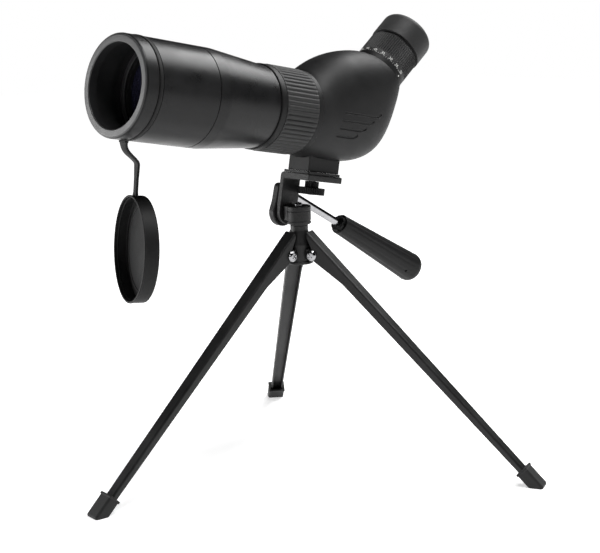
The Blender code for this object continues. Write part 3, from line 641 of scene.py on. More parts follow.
def make_tube():
    cell_bore = CELL_R + GAP
    inside = SPIGOT_R - 2.6
    outer = rounded([(cell_bore, SEAM - 0.2), (TUBE_R, SEAM - 0.2, 0.4), (TUBE_R, TAPER_FRONT, 30.0),
                     (NECK_R, TAPER_BACK, 8.0), (NECK_R, RING_FRONT + GAP, 0.3),
                     (SPIGOT_R, RING_FRONT + GAP)], False, 8)
    profile = outer + [(SPIGOT_R, -5), (inside, -5), (inside, 46), (29.9, 51), (33.0, 90), (33.0, 95.6),
                       (cell_bore, 95.6)]
    slot = brick((-2.2, 2.2), (24, 34), (12.8, 29.2))
    obj = stand_in("main_tube", carved(lathe(profile), cut(slot)), OPTICAL_AT, "tube")
    add_look(obj, "inside", lambda c, n: n.x * c.x + n.y * c.y < 0 and abs(n.z) < 0.9)
    stand_in("baffle_ring", lathe(rounded([(31.0, 69.5), (31.0, 68), (24.0, 68, 0.3), (24.0, 69.5, 0.3)])),
             OPTICAL_AT, "inside")


def make_focus():
    inner, groove = SPIGOT_R + GAP, RING_R - 1.5
    profile = rounded([(RING_R, RING_FRONT, 0.9), (RING_R, GRIP_FRONT, 0.4), (groove, GRIP_FRONT),
                       (groove, GRIP_BACK), (RING_R, GRIP_BACK, 0.4), (RING_R, RING_BACK, 0.8),
                       (inner, RING_BACK), (inner, RING_FRONT)])
    stand_in("focus_ring", lathe(profile), OPTICAL_AT, "plastic")
    low, high, top = GRIP_BACK + GAP, GRIP_FRONT - GAP, RING_R + 0.4
    outside = [(top, high - (high - low) * i / 20) for i in range(21)]
    outside[0], outside[-1] = (top - 0.3, high), (top - 0.3, low)
    band = outside + [(groove + 0.2, low), (groove + 0.2, high)]
    shape = ribs(RIBS, 0.8, groove + 0.6, low, high, 1.0, 3.0)
    stand_in("focus_grip", lathe(band, RIBS * 10, shape=shape), OPTICAL_AT, "rubber", 50.0)


# ---------------------------------------------------------------- prism housing

def housing_sections(grow, count, segments):
    """Rounded sections of the elbow from the tube to the eyepiece seat, as in the CAD."""
    tilt = math.radians(90 - EYE_ANGLE)
    up = (math.cos(math.radians(EYE_ANGLE)), math.sin(math.radians(EYE_ANGLE)))
    across = (-math.cos(tilt), math.sin(tilt))
    seat = (EYE_BACK + SEAT * up[0], SEAT * up[1])
    top_end = (seat[0] + SEAT_R * across[0], seat[1] + SEAT_R * across[1])
    low_end = (seat[0] - SEAT_R * across[0], seat[1] - SEAT_R * across[1])
    top = ((-HOUSING_FRONT, RING_R), (10, 41.5), (34, 59), top_end)
    low = ((-HOUSING_FRONT, -RING_R), (66, -40), (88, -32), low_end)
    sections = []
    for i in range(count + 1):
        t = i / count
        a, b = bezier(top, t), bezier(low, t)
        middle = ((a[0] + b[0]) / 2, (a[1] + b[1]) / 2)
        half = math.hypot(a[0] - b[0], a[1] - b[1]) / 2
        lean = ((a[0] - b[0]) / (2 * half), (a[1] - b[1]) / (2 * half))
        width = RING_R + (SEAT_R - RING_R) * t ** 2.2
        square = 2.0 + 0.7 * math.sin(math.pi * t) ** 1.5
        lip = 0.6 * max(0.0, 1 - 14 * t, 1 - 14 * (1 - t)) ** 2 if grow == 0 else 0.0
        loop = []
        for k in range(segments):
            angle = 2 * math.pi * k / segments
            c, s = math.cos(angle), math.sin(angle)
            x = math.copysign(abs(c) ** (2 / square), c) * (width + grow - lip)
            h = math.copysign(abs(s) ** (2 / square), s) * (half + grow - lip)
            loop.append((x, middle[0] + lean[0] * h, middle[1] + lean[1] * h))
        sections.append(loop)
    return sections


def tube_along(points, radius, steps=10):
    """A round bar through points."""
    loops = []
    for i, point in enumerate(points):
        run = (Vector(points[min(i + 1, len(points) - 1)]) - Vector(points[max(i - 1, 0)])).normalized()
        side = run.cross(Vector((1, 0, 0))).normalized()
        over = run.cross(side)
        loops.append([Vector(point) + (side * math.cos(a) + over * math.sin(a)) * radius
                      for a in (2 * math.pi * k / steps for k in range(steps))])
    return skin(loops)


def engraved_lines(shell):
    """Cutters for four hooked lines on each flank, following the surface."""
    tree = BVHTree.FromBMesh(shell)
    bars = []
    for row in range(4):
        height, start, bend = 4.0 - 6.4 * row, 20.4 - 1.2 * row, 61.5 - 8.8 * row
        line = [(start + (bend - start) * k / 16, height) for k in range(17)]
        line += [(bend + 1.6, height + 0.45), (bend + 3.4, height + 1.5), (bend + 5.0, height + 2.6)]
        for sign in (1, -1):
            points = []
            for back, high in line:
                hit = tree.ray_cast(Vector((sign * 60, back, high)), Vector((-sign, 0, 0)))[0]
                points.append((hit.x + sign * 0.45, back, high))
            bars.append(tube_along(points, 1.15))
    return joined(*bars)


def make_housing():
    outer = housing_sections(0.0, 44, 96)
    inner = housing_sections(-HOUSING_WALL, 44, 96)
    shell = skin(outer + inner[::-1], cyclic=True)
    shell = carved(shell, cut(engraved_lines(shell)))
    stand_in("prism_housing", shell, DATUM_AT, "housing", 30.0)


# ---------------------------------------------------------------- eyepiece

def written(text, size, depth=0.08):
    """Text as a closed flat mesh lying in local XY, its middle at the origin, in millimetres."""
    curve = bpy.data.curves.new("digits", "FONT")
    curve.body = text
    curve.size = size
    curve.extrude = depth / 2
    curve.resolution_u = 3
    curve.align_x = "CENTER"
    curve.align_y = "CENTER"
    obj = added("digits", curve)
    bm = welded(baked(obj))
    bpy.data.objects.remove(obj)
    bpy.data.curves.remove(curve)
    return bm


def wrapped(bm, radius, angle, height):
    """A flat mesh bent round the axis at an angle in degrees and a height."""
    for vert in bm.verts:
        a = math.radians(angle) + vert.co.x / radius
        r = radius + vert.co.z
        vert.co = Vector((r * math.cos(a), r * math.sin(a), height + vert.co.y))
    return bm


INDEX_ANGLE = 10.0
SCALE_STEP = 20.0
MAGNIFICATIONS = range(20, 61, 5)


def make_zoom_scale(base_r, low):
    """Generic dial figures on the zoom ring and the index they turn past."""
    marks = []
    for k, number in enumerate(MAGNIFICATIONS):
        angle = INDEX_ANGLE - SCALE_STEP * k
        marks.append(wrapped(written(str(number), 3.3), base_r + 0.03, angle, low + 2.35))
        if k:
            for part in (0.25, 0.5, 0.75):
                tick = brick((-0.14, 0.14), (-0.35, 0.35), (-0.04, 0.04))
                marks.append(wrapped(tick, base_r + 0.03, angle + SCALE_STEP * part, low + 0.8))
    piece("zoom_figures", joined(*marks), EYE_AT, "print", "zoom_wheel")
    dot = lathe([(0, 0.06), (0.6, 0.05), (0.62, -0.05), (0, -0.05)], 20, False)
    piece("zoom_index", wrapped(dot, EYE_R + 0.42, INDEX_ANGLE, SCALE_TOP - 1.6), EYE_AT, "print", "scope")


def make_zoom():
    inner = BARREL_R + GAP
    scale = rounded([(EYE_R + 0.4, SCALE_TOP, 0.35), (EYE_R + 0.4, SEAT + 0.4, 0.3), (inner, SEAT + 0.4),
                     (inner, SCALE_TOP)])
    stand_in("zoom_scale_ring", lathe(scale), EYE_AT, "plastic")
    low = SCALE_TOP + GAP
    ribs_low, ribs_high = low + 4.3, ZOOM_TOP - 0.5
    face = [(EYE_R, ribs_high - (ribs_high - ribs_low) * i / 20) for i in range(21)]
    face[0] = (EYE_R - 0.5, ribs_high)
    zoom = face + rounded([(EYE_R, ribs_low), (EYE_R, low, 0.4), (inner, low)], False)[1:]
    zoom += [(inner, ZOOM_TOP + 1.3), (EYE_R - 1.6, ZOOM_TOP + 1.3), (EYE_R - 1.6, ribs_high)]
    shape = ribs(ZOOM_RIBS, 0.75, EYE_R - 1.0, ribs_low, ribs_high + 0.8, 1.0, 1.4)
    stand_in("zoom_ring", lathe(zoom, ZOOM_RIBS * 8, shape=shape), EYE_AT, "rubber", 50.0)
    make_zoom_scale(EYE_R, low)


def make_eyecup():
    inner, outer = BARREL_R + GAP, EYE_R + 0.6
    base, ledge = ZOOM_TOP + 1.6, EYECUP_TOP - 4.6
    cup = rounded([(outer, EYECUP_TOP, 5.2), (outer, base, 0.5), (inner, base), (inner, ledge),
                   (16.5, ledge), (15.2, EYECUP_TOP - 1.2, 0.8), (16.4, EYECUP_TOP, 1.0)], steps=8)
    stand_in("eyecup", lathe(cup), EYE_AT, "rubber")


def make_eye_lens():
    stand_in("eye_lens", lens_mesh(13.0, (98.5, 100.6), (93.3, 93.8)), EYE_AT, "lens")
    cell_r = BARREL_R - 2.0 - GAP
    seat = rounded([(cell_r, 102.6), (cell_r, 91), (11.5, 91), (11.5, 93), (13.3, 93), (13.3, 100.5, 0.4),
                    (14.6, 102.6, 0.4)])
    stand_in("eye_lens_cell", lathe(seat, MEDIUM), EYE_AT, "plastic")


# ---------------------------------------------------------------- foot and head

def make_foot():
    front, back = FOOT_Y
    wide, slim = FOOT_HALF_WIDTH, FOOT_HALF_WIDTH - 0.7
    plan = rounded([(-wide, front, 0.5), (wide, front, 0.5), (wide, front + 2.6, 0.3), (slim, front + 3.2),
                    (slim, back, 1.0), (-slim, back, 1.0), (-slim, front + 3.2), (-wide, front + 2.6, 0.3)])
    envelope = moved(skin(housing_sections(GAP, 20, 64)), shift(0, SCOPE_AXIS_Y, SCOPE_AXIS_H))
    well = peg(5.3, FOOT_LOW - 2, FOOT_LOW + 8.3, shift(0, SCREW_Y, 0))
    foot = carved(slab(plan, FOOT_LOW, 52, 0.5), cut(envelope), cut(well))
    stand_in("tripod_foot", foot, TILT_AT, "housing")


def cross_slab(outline, low, high, edge):
    """A slab whose outline is (x, z) and whose thickness runs along the tilt frame's Y."""
    return moved(slab(outline, -high, -low, edge), turn(90, "X"))


def side_slab(outline, low, high, edge):
    """A slab whose outline is (y, z) and whose thickness runs along the tilt frame's X."""
    return moved(slab(outline, low, high, edge), SIDE)


def lobe(top, half):
    return arc(0, 0, half, 180, 360, 24) + [(half, top), (-half, top)]


def make_bracket():
    front, back = PLATFORM_Y
    half = -front + 0.3
    high, low = PLATFORM_HIGH, PLATFORM_LOW
    shelf = rounded([(PLATE_OUTER, low, 0.6), (PLATFORM_LEFT, low, 0.6), (PLATFORM_LEFT, high, 1.2),
                     (PLATE_OUTER, high, 3.0)])
    elbow = rounded([(PLATE_OUTER, 4), (PLATE_INNER, 4), (PLATE_INNER, low, 1.2), (PLATFORM_LEFT, low, 0.6),
                     (PLATFORM_LEFT, high, 1.2), (PLATE_OUTER, high, 3.0)])
    across = turn(90, "Y")
    steps = [fuse(cross_slab(elbow, front, half, 0.5)),
             fuse(side_slab(lobe(9, half), PLATE_OUTER, PLATE_INNER, 0.5)),
             cut(peg(4.2, 24, 36, shift(0, SCREW_Y, 0))),
             cut(peg(2.7, -20, -10, across))]
    stand_in("tilt_bracket", carved(cross_slab(shelf, front + 2, back, 0.9), *steps), TILT_AT, "casting")


def make_arm():
    """The clamp arm beside the bracket's plate and the two rivets that hold it."""
    top = 23.0
    across = turn(90, "Y")
    outer = arc(0, 0, LOBE_R, 180, 360, 24) + [(10.2, 8.0), (9.4, top - 4)]
    outer += arc(5.4, top - 4, 4, 0, 90, 8) + arc(-5.4, top - 4, 4, 90, 180, 8) + [(-10.2, 8.0)]
    rear_well = moved(brick((-6, 6), (-8, 14), (0, 8)), TILT_AT.inverted() @ HANDLE_AT)
    screw_hole = peg(2.3, -8.6, 3, TILT_AT.inverted() @ HANDLE_AT)
    arm = carved(side_slab(outer, ARM_OUTER, ARM_INNER, 1.1), cut(peg(2.7, -30, -10, across)),
                 cut(peg(4.8, -26, -21.0, across, 32)), cut(screw_hole),
                 cut(rear_well))
    stand_in("tilt_arm", arm, TILT_AT, "casting")
    for side, spot in {"front": (0, -5, 17), "rear": (0, 4, 18)}.items():
        rivet = rounded([(0, PLATE_INNER - 0.2), (1.6, PLATE_INNER - 0.2, 0.3), (1.6, ARM_OUTER + 0.8, 0.5),
                         (0, ARM_OUTER + 0.8)], False)
        stand_in("arm_rivet_" + side, lathe(rivet, 24, False), TILT_AT @ shift(*spot) @ across, "steel")


def make_pad():
    pad = slab(rounded([(-15, -8.2, 1.5), (15, -8.2, 1.5), (15, 27.4, 1.5), (-15, 27.4, 1.5)]),
               PLATFORM_HIGH + 0.05, FOOT_LOW - 0.05, 0.2)
    grooves = [brick((-16, 16), (y - 0.35, y + 0.35), (PAD_HIGH - 0.3, PAD_HIGH + 1))
               for y in range(-5, 27, 3)]
    pad = carved(pad, cut(joined(*grooves)),
                 cut(peg(4.2, 24, 36, shift(0, SCREW_Y, 0))))
    stand_in("platform_pad", pad, TILT_AT, "rubber")


def make_tilt_bolt():
    bolt = rounded([(0, 23.3), (4.5, 23.3, 0.9), (4.5, 21.3), (2.4, 21.3), (2.4, 4.6), (0, 4.6)], False)
    bolt = carved(lathe(bolt, MEDIUM, False), *cross_recess(23.3, 1.3, 4.4, 0.9))
    stand_in("tilt_bolt", bolt, TILT_AT @ turn(-90, "Y"), "steel")


def cross_recess(top, depth, length, width):
    """Two crossing slots in a screw head whose top is at a height."""
    half, thin = length / 2, width / 2
    limits = (top - depth, top + 2)
    return [cut(brick((-half, half), (-thin, thin), limits)),
            cut(brick((-thin, thin), (-half, half), limits))]


def make_camera_screw():
    top = PLATFORM_LOW - GAP
    knob = rounded([(5.7, top, 0.3), (5.7, top - 5, 0.6), (11, top - 5, 0.5), (11, top - 10.7, 0.5),
                    (3.5, top - 10.7), (3.5, top)])

    def knurl(angle, radius, height):
        if radius > 9.5:
            return radius - 0.55 * (0.5 + 0.5 * math.cos(KNOB_KNURLS * angle))
        if 4.8 < radius < 6.5:
            return radius - 0.4 * (0.5 + 0.5 * math.cos(18 * angle))
        return radius
    at = TILT_AT @ shift(0, SCREW_Y, 0)
    stand_in("camera_screw_knob", lathe(knob, KNOB_KNURLS * 8, shape=knurl), at, "plastic", 45.0)
    pitch = 1.27
    thread = []
    for k in range(10):
        z = 40.3 - k * pitch
        thread += [(3.2, z), (2.75, z - pitch / 2)]
    screw = [(0, 41.5), (2.4, 41.5), (2.75, 40.9)] + thread + [(3.2, 26.0), (3.2, 16.4), (2.8, 16), (0, 16)]
    screw = carved(lathe(screw, MEDIUM, False), cut(brick((-4, 4), (-0.5, 0.5), (14, 17.2))))
    stand_in("camera_screw", screw, at, "chrome")


def make_handle():
    rod = rounded([(0, ROD_LENGTH), (ROD_R, ROD_LENGTH, 0.4), (ROD_R, 0.3, 0.4), (2.0, 0.3), (2.0, -8, 0.4),
                   (0, -8)], False)
    stand_in("handle_rod", lathe(rod, MEDIUM, False), HANDLE_AT, "chrome")
    start, end = HANDLE_GRIP_START, HANDLE_GRIP_END
    body = [(8.6 + 4.2 * i / 16, start + 4 + (end - 7 - start - 4) * i / 16) for i in range(16, 0, -1)]
    grip = [(0, end), (6.0, end), (8.6, end - 0.35), (10.4, end - 1.3), (11.7, end - 2.8), (12.5, end - 4.8)]
    grip += body + [(8.6, start + 3.4), (8.3, start + 3.0), (6.9, start + 2.8), (6.9, start + 0.4),
                    (6.5, start), (ROD_R + GAP, start), (ROD_R + GAP, ROD_LENGTH + GAP),
                    (0, ROD_LENGTH + GAP)]

    def flutes(angle, radius, height):
        share = min(1.0, max(0.0, (height - start - 6) / 4), max(0.0, (end - 8 - height) / 4))
        if radius < 8.0 or not share:
            return radius
        return radius - 0.35 * share * (0.5 + 0.5 * math.cos(HANDLE_FLUTES * angle)) ** 3
    cuts = [cut(moved(brick((6.2, 9), (-1.0, 1.0), (start - 1, start + 3.0)), turn(60 * k, "Z")))
            for k in range(6)]
    dimple = peg(1.1, 10.6, 16, turn(38, "Z") @ shift(0, 0, end - 18) @ turn(90, "Y"), 20)
    grip = carved(lathe(grip, 160, False, flutes), *cuts, cut(dimple))
    stand_in("handle_grip", grip, HANDLE_AT, "plastic")


def make_pan():
    profile = rounded([(2.7, PAN_HIGH), (PAN_R, PAN_HIGH, 0.9), (PAN_R, 212.0), (PAN_R - 0.35, 211.6),
                       (PAN_R - 0.35, 211.0), (PAN_R, 210.6), (PAN_R, 203.6), (PAN_R - 0.4, 203.2),
                       (PAN_R - 0.4, 202.6), (PAN_R, 202.2), (PAN_R, PAN_LOW, 0.8), (2.7, PAN_LOW)])
    boss = brick((-12.3, -6), (-6, 6), (PAN_LOW + 2.2, PAN_HIGH - 0.6), 0.9)
    bolt_hole = peg(2.7, -20, -4.2, shift(0, 0, TILT_AXIS_Z) @ turn(90, "Y"))
    block = carved(lathe(profile, MEDIUM), fuse(boss), cut(bolt_hole))
    stand_in("pan_block", block, STAND_AT, "casting")
    screw = rounded([(0, 217.7), (2.0, 217.55, 1.5), (3.4, PAN_HIGH + 0.9, 0.3), (3.4, PAN_HIGH + GAP),
                     (2.4, PAN_HIGH + GAP), (2.4, 185.5), (0, 185.5)], False)
    screw = carved(lathe(screw, 48, False), *cross_recess(217.7, 1.0, 3.6, 0.8))
    stand_in("pan_screw", screw, STAND_AT, "chrome")
    washer = rounded([(WASHER_R, PAN_LOW - 0.2, 0.15), (WASHER_R, HUB_TOP + 0.2, 0.15),
                      (2.8, HUB_TOP + 0.2), (2.8, PAN_LOW - 0.2)])
    stand_in("pan_washer", lathe(washer, MEDIUM), STAND_AT, "nylon")


# ---------------------------------------------------------------- hub and legs

def make_hub():
    profile = rounded([(0, HUB_TOP), (NECK_HUB_R, HUB_TOP, 0.4), (NECK_HUB_R, HUB_TOP - 4, 2.0),
                       (HUB_R - 0.6, HUB_SHOULDER - 4, 1.0), (HUB_R, HUB_SHOULDER - 6, 2.0),
                       (HUB_R, HUB_LOW + 2.5, 0.3), (HUB_R + 1, HUB_LOW + 2.5, 0.5),
                       (HUB_R + 1, HUB_LOW, 0.8), (0, HUB_LOW)], False)
    steps = []
    half = LEG_TOP_WIDTH / 2 - SHEET - GAP
    for azimuth in LEG_AZIMUTHS.values():
        side = arc(PIVOT_RADIUS, PIVOT_Z, 4.5, -90, 90, 16) + [(5, PIVOT_Z + 4.5), (5, PIVOT_Z - 4.5)]
        steps.append(fuse(moved(slab(side, -half, half, 0.35), turn(azimuth, "Z") @ turn(90, "X"))))
    for azimuth in LEG_AZIMUTHS.values():
        at = turn(azimuth, "Z") @ shift(PIVOT_RADIUS, 0, PIVOT_Z) @ turn(90, "X")
        steps.append(cut(peg(BORE_R, -9, 9, at)))
    steps.append(cut(peg(2.7, 184, HUB_TOP + 2)))
    stand_in("hub", carved(lathe(profile, MEDIUM, False), *steps), STAND_AT, "enamel")


def leg_line():
    """Slope of a leg's back below the horizontal, in radians, as the CAD finds it."""
    slope = math.radians(45.0)
    for _ in range(20):
        across = PIVOT_RADIUS + math.sin(slope) * WEB_OFFSET
        height = PIVOT_Z + math.cos(slope) * WEB_OFFSET
        slope = math.atan2(height, FOOT_RADIUS - across)
    return slope


def leg_sheet(slope, length):
    """The folded sheet: two side walls with ears joined by a back with rounded bends."""
    reach = NECK_HUB_R + NECK_CLEARANCE - PIVOT_RADIUS - (WEB_OFFSET - SHEET) * math.sin(slope)
    top = reach / math.cos(slope)
    inner_top, inner_end = WEB_OFFSET - LEG_TOP_DEPTH, WEB_OFFSET - LEG_END_DEPTH
    lean = math.degrees(slope)
    side = [(top, WEB_OFFSET), (top + 3.4, WEB_OFFSET - 3.6)] + arc(0, 0, EAR_R, 90 + lean, 330, 20)
    side += rounded([side[-1], (34, inner_top - 0.3, 20.0), (length, inner_end)], False, 8)[1:]
    side += [(length, WEB_OFFSET)]
    bm = bmesh.new()
    rows = []
    for sign in (-1, 1):
        row = []
        for u, v in side:
            share = max(0.0, min(1.0, u / length))
            half = (LEG_TOP_WIDTH + (LEG_END_WIDTH - LEG_TOP_WIDTH) * share) / 2
            row.append(bm.verts.new((u, sign * half, v)))
        bm.faces.new(row if sign < 0 else row[::-1])
        rows.append(row)
    a, b = rows
    bm.faces.new((a[0], a[-1], b[-1], b[0]))
    bmesh.ops.recalc_face_normals(bm, faces=bm.faces)
    folds = [e for e in bm.edges if len(e.link_faces) == 2]
    bmesh.ops.bevel(bm, geom=folds, offset=1.7, segments=5, profile=0.5, affect="EDGES", clamp_overlap=True)
    return bm


def solidified(bm, thickness, edge):
    """A sheet given its thickness inwards, with its cut edges broken."""
    mesh = mesh_of(bm)
    obj = added("sheet", mesh)
    solid = obj.modifiers.new("Sheet", "SOLIDIFY")
    solid.thickness = thickness
    solid.offset = -1.0
    solid.use_even_offset = True
    rim = obj.modifiers.new("Rim", "BEVEL")
    rim.width = edge
    rim.segments = 2
    rim.limit_method = "ANGLE"
    rim.angle_limit = math.radians(50)
    result = baked(obj)
    bpy.data.objects.remove(obj)
    bpy.data.meshes.remove(mesh)
    return result


def make_foot_cap(name, at, length):
    """A moulded rubber boot cut off level with the ground, a lip round its mouth."""
    high, low = WEB_OFFSET + 3.0, WEB_OFFSET - 7.0
    boot = brick((length - 9, length + 12), (-7.2, 7.2), (low, high), 1.9, 5)
    lip = brick((length - 9.4, length - 7.2), (-7.5, 7.5), (low - 0.3, high + 0.3), 0.7, 3)
    ground = at.inverted()
    slab_below = moved(brick((-60, 60), (-60, 60), (-80, 0)), ground @ shift(*foot_spot(name), 0))
    wide = LEG_END_WIDTH / 2 + 0.6
    pocket = brick((length - 30, length + GAP), (-wide, wide),
                   (WEB_OFFSET - LEG_END_DEPTH - 0.6, WEB_OFFSET + GAP))
    boot = carved(boot, fuse(lip), cut(slab_below), cut(pocket))
    stand_in("foot_cap_" + name, boot, at, "rubber")


def foot_spot(name):
    angle = math.radians(LEG_AZIMUTHS[name])
    return STAND[0] + FOOT_RADIUS * math.cos(angle), STAND[1] + FOOT_RADIUS * math.sin(angle)


def make_pivot(name, at):
    """A pan head screw through both ears and a hexagon nut on its far end."""
    face = LEG_TOP_WIDTH / 2 + GAP
    side = turn(90 if HEAD_SIDE[name] < 0 else -90, "X")
    screw = rounded([(0, face + 2.4), (3.0, face + 2.35, 2.0), (4.4, face + 0.9, 0.5), (4.4, face, 0.2),
                     (SCREW_R, face), (SCREW_R, -face - 3.6, 0.4), (0, -face - 3.6)], False)
    screw = carved(lathe(screw, MEDIUM, False), *cross_recess(face + 2.4, 1.3, 4.4, 0.95))
    stand_in("pivot_screw_" + name, screw, at @ side, "chrome")
    hexagon = rounded([(x, y, 0.3) for x, y in arc(0, 0, 3.9, 0, 300, 5)])
    nut = carved(slab(hexagon, -face - 3.0, -face, 0.2),
                 cut(peg(SCREW_R + GAP, -face - 4, -face + 1)))
    stand_in("pivot_nut_" + name, nut, at @ side, "chrome")


def make_legs():
    slope = leg_line()
    drop = PIVOT_Z + math.cos(slope) * (WEB_OFFSET - LEG_END_DEPTH)
    length = drop / math.sin(slope) - 6.0
    for name, azimuth in LEG_AZIMUTHS.items():
        at = (STAND_AT @ turn(azimuth, "Z") @ shift(PIVOT_RADIUS, 0, PIVOT_Z)
              @ Matrix.Rotation(slope, 4, "Y"))
        sheet = solidified(leg_sheet(slope, length), SHEET, 0.25)
        bore = peg(BORE_R, -9, 9, turn(90, "X"))
        stand_in("leg_" + name, carved(sheet, cut(bore)), at, "enamel", 30.0)
        make_foot_cap(name, at, length)
        make_pivot(name, at)


# ---------------------------------------------------------------- cap and strap

def make_strap_ring():
    middle = (GROOVE_BACK + GROOVE_FRONT) / 2
    profile = rounded([(STRAP_RING_R, GROOVE_FRONT - GAP, 0.9), (STRAP_RING_R, GROOVE_BACK + GAP, 0.9),
                       (TUBE_R - WALL, GROOVE_BACK + GAP), (TUBE_R - WALL, GROOVE_FRONT - GAP)])
    root = brick((-4.2, 4.2), (-STRAP_RING_R - 1.2, -STRAP_RING_R + 1.0), (middle - 1.6, middle + 1.6), 0.7)
    stand_in("strap_ring", carved(lathe(profile), fuse(root)), OPTICAL_AT, "cap")


def strap_route():
    """Middle line of the strap in metres, from the ring to the cap, and where it kinks."""
    middle = (GROOVE_BACK + GROOVE_FRONT) / 2
    forward, low = KINK
    bend = ((middle, -STRAP_RING_R), (middle - 0.5, -47), (forward + 6, -47.5), (forward, low))
    upper = [bezier(bend, i / 20) for i in range(21)]
    route = [OPTICAL_AT @ (Vector((0, h, z)) * MM) for z, h in upper]
    kink = route[-1]
    lower = turn(CAP_TURN, "Z") @ Vector((0, -STRAP_LEAN * MM, -(STRAP_DROP + 0.8) * MM))
    route += [kink + lower * (k / 20) for k in range(1, 21)]
    return route, kink


def make_strap():
    """One moulded strap from the ring to the cap, which bends at the kink."""
    route, kink = strap_route()
    count = len(route)
    smooth = list(route)
    for _ in range(2):
        middle = [(a + b * 2 + c) / 4 for a, b, c in zip(smooth, smooth[1:], smooth[2:])]
        smooth = [smooth[0]] + middle + [smooth[-1]]
    loops = []
    for i, point in enumerate(smooth):
        share = i / (count - 1)
        run = (smooth[min(i + 1, count - 1)] - smooth[max(i - 1, 0)]).normalized()
        twist = math.radians(CAP_TURN) * min(1.0, max(0.0, (share - 0.25) / 0.5))
        wide = Vector((math.cos(twist), math.sin(twist), 0))
        thick = run.cross(wide).normalized()
        root, tab = max(0.0, 1 - share / 0.12), max(0.0, 1 - (1 - share) / 0.09)
        half = STRAP_WIDTH / 2 + 1.0 * root ** 2 + 1.6 * tab ** 2
        deep = STRAP_THICK / 2
        corners = [(-half, -deep, 0.6), (half, -deep, 0.6), (half, deep, 0.6), (-half, deep, 0.6)]
        section = rounded(corners, True, 3)
        loops.append([(point + (wide * x + thick * y) * MM) / MM for x, y in section])
    strap = smooth_object("strap", skin(loops), "cap", 45.0)
    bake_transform(strap)
    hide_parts("cap_strap")
    return kink


def make_cap(kink):
    hang = Matrix.Translation(kink) @ turn(CAP_TURN, "Z") @ shift(0, 0, -STRAP_DROP - GAP)
    at = hang @ turn(-CAP_LEAN, "X") @ shift(0, CAP_HOLD, -CAP_R - 0.4) @ turn(-90, "X")
    wall = CAP_R - CAP_WALL
    profile = rounded([(0, 0), (30.0, 0), (30.6, -0.35), (CAP_R - 3.4, -0.35), (CAP_R - 2.8, 0),
                       (CAP_R, 0, 1.6), (CAP_R, -CAP_DEPTH + 1.4), (CAP_R + 0.3, -CAP_DEPTH + 1.0, 0.3),
                       (CAP_R + 0.3, -CAP_DEPTH, 0.4), (wall, -CAP_DEPTH, 0.3), (wall, -CAP_DEPTH + 2.2),
                       (wall - 0.4, -CAP_DEPTH + 2.8), (wall, -CAP_DEPTH + 3.4), (wall, -1.8, 0.8),
                       (33.0, -1.8), (32.6, -2.3), (31.6, -2.3), (31.2, -1.8), (0, -1.8)], False)
    stand_in("lens_cap", lathe(profile, FINE, False), at, "cap", 32.0)


# ---------------------------------------------------------------- stage

def make_floor():
    """A pale table that glows a little more away from the middle, so that it runs into the backdrop."""
    n = Nodes("studio_floor")
    n.base(n.mix(n.noise(400.0, 2.0), (0.88, 0.88, 0.88), (0.91, 0.91, 0.91)))
    reach = n.add("VectorMath", Operation="LENGTH")
    n.link(n.place, reach.inputs[0])
    n.shader.inputs["Emission Color"].default_value = (1, 1, 1, 1)
    n.link(n.span(reach.outputs["Value"], FLOOR_GLOW, 1.0, 0.25, 1.2), n.shader.inputs["Emission Strength"])
    n.set(Roughness=0.5, Specular_IOR_Level=0.3)
    bm = bmesh.new()
    bmesh.ops.create_grid(bm, x_segments=1, y_segments=1, size=4.0)
    mesh = mesh_of(bm, "studio_floor")
    mesh.materials.append(n.material)
    added("studio_floor", mesh)


def make_light(name, spot, target, size, power):
    data = bpy.data.lights.new(name, "AREA")
    data.shape = "RECTANGLE"
    data.size, data.size_y = size
    data.energy = power
    lamp = added(name, data)
    lamp.location = spot
    lamp.rotation_mode = "QUATERNION"
    lamp.rotation_quaternion = (Vector(target) - Vector(spot)).to_track_quat("-Z", "Y")


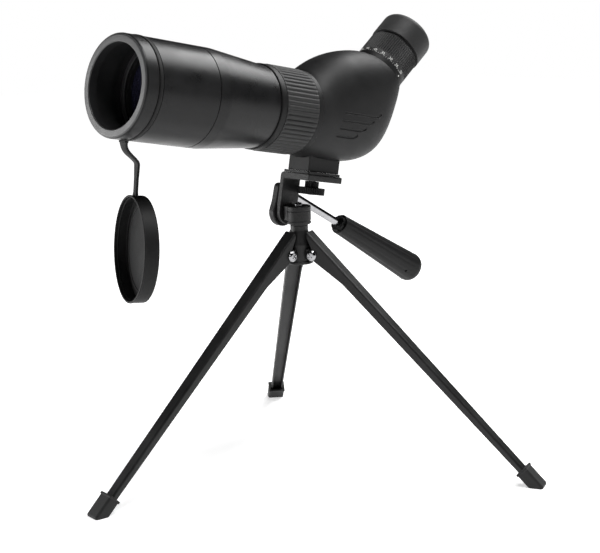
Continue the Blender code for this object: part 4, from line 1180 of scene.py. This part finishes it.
def make_world():
    """The camera sees plain white. The object sees a dim room: lighter above, dark behind the camera."""
    world = bpy.data.worlds.new("studio")
    world.use_nodes = True
    tree = world.node_tree
    node = {}
    for key, kind in (("seen", "LightPath"), ("way", "TexCoord"), ("parts", "SeparateXYZ"),
                      ("up", "MapRange"), ("dot", "VectorMath"), ("dark", "MapRange"), ("room", "Math"),
                      ("white", "Background"), ("pick", "MixShader")):
        node[key] = tree.nodes.new("ShaderNode" + kind)
    link = tree.links.new
    link(node["way"].outputs["Generated"], node["parts"].inputs[0])
    link(node["parts"].outputs["Z"], node["up"].inputs["Value"])
    node["up"].inputs["To Min"].default_value, node["up"].inputs["To Max"].default_value = ROOM
    node["dot"].operation = "DOT_PRODUCT"
    link(node["way"].outputs["Generated"], node["dot"].inputs[0])
    azimuth = math.radians(VIEW_AZIMUTH)
    node["dot"].inputs[1].default_value = (math.sin(azimuth), -math.cos(azimuth), 0.25)
    link(node["dot"].outputs["Value"], node["dark"].inputs["Value"])
    for key, number in (("From Min", 0.45), ("From Max", 0.85), ("To Min", 1.0), ("To Max", ROOM_DARK)):
        node["dark"].inputs[key].default_value = number
    node["room"].operation = "MULTIPLY"
    link(node["up"].outputs["Result"], node["room"].inputs[0])
    link(node["dark"].outputs["Result"], node["room"].inputs[1])
    link(node["room"].outputs["Value"], tree.nodes["Background"].inputs["Strength"])
    node["white"].inputs["Color"].default_value = (1, 1, 1, 1)
    link(node["seen"].outputs["Is Camera Ray"], node["pick"].inputs["Fac"])
    link(tree.nodes["Background"].outputs[0], node["pick"].inputs[1])
    link(node["white"].outputs[0], node["pick"].inputs[2])
    link(node["pick"].outputs[0], tree.nodes["World Output"].inputs["Surface"])
    bpy.context.scene.world = world


def make_studio():
    make_floor()
    make_world()
    middle = (0, 0, 0.22)
    make_light("top_box", (0.35, 0.0, 1.35), middle, (0.9, 0.45), 13.0)
    make_light("back_box", (0.0, 1.0, 1.25), middle, (0.9, 0.6), 17.0)
    make_light("front_box", (-1.0, -0.95, 0.30), middle, (0.6, 0.6), 8.5)
    make_light("side_box", (1.2, 0.6, 0.7), middle, (0.3, 0.6), 1.5)
    make_light("camera_box", (0.75, -1.2, 0.75), middle, (0.3, 0.3), 0.8)
    bpy.context.scene.view_settings.view_transform = "Standard"


def make_camera():
    az, el, roll = (math.radians(a) for a in (VIEW_AZIMUTH, VIEW_ELEVATION, VIEW_ROLL))
    right = Vector((math.cos(az), math.sin(az), 0))
    back = Vector((math.sin(az) * math.cos(el), -math.cos(az) * math.cos(el), math.sin(el)))
    up = back.cross(right)
    across = right * math.cos(roll) + up * math.sin(roll)
    upright = up * math.cos(roll) - right * math.sin(roll)
    data = bpy.data.cameras.new("camera")
    data.lens = LENS_LENGTH
    data.sensor_width = SENSOR
    data.shift_y = SHIFT_Y
    data.clip_start, data.clip_end = 0.05, 20.0
    camera = added("camera", data)
    spot = Vector((*STAND, VIEW_HEIGHT)) * MM + back * VIEW_DISTANCE * MM
    axes = Matrix((across, upright, back)).transposed()
    camera.matrix_world = Matrix.Translation(spot) @ axes.to_4x4()
    bpy.context.scene.camera = camera


def dress_cad_nodes():
    """Every CAD node that stays visible gets the material of its slot."""
    for node, obj in frame["nodes"].items():
        if not obj.hide_render:
            obj.data.materials.clear()
            obj.data.materials.append(LOOKS[SLOT_LOOK[SLOT_OF[node]]])


make_camera()
make_studio()
make_hood()
make_objective()
make_tube()
make_focus()
make_housing()
make_zoom()
make_eyecup()
make_eye_lens()
make_foot()
make_bracket()
make_arm()
make_pad()
make_tilt_bolt()
make_camera_screw()
make_handle()
make_pan()
make_hub()
make_legs()
make_strap_ring()
make_cap(make_strap())
dress_cad_nodes()
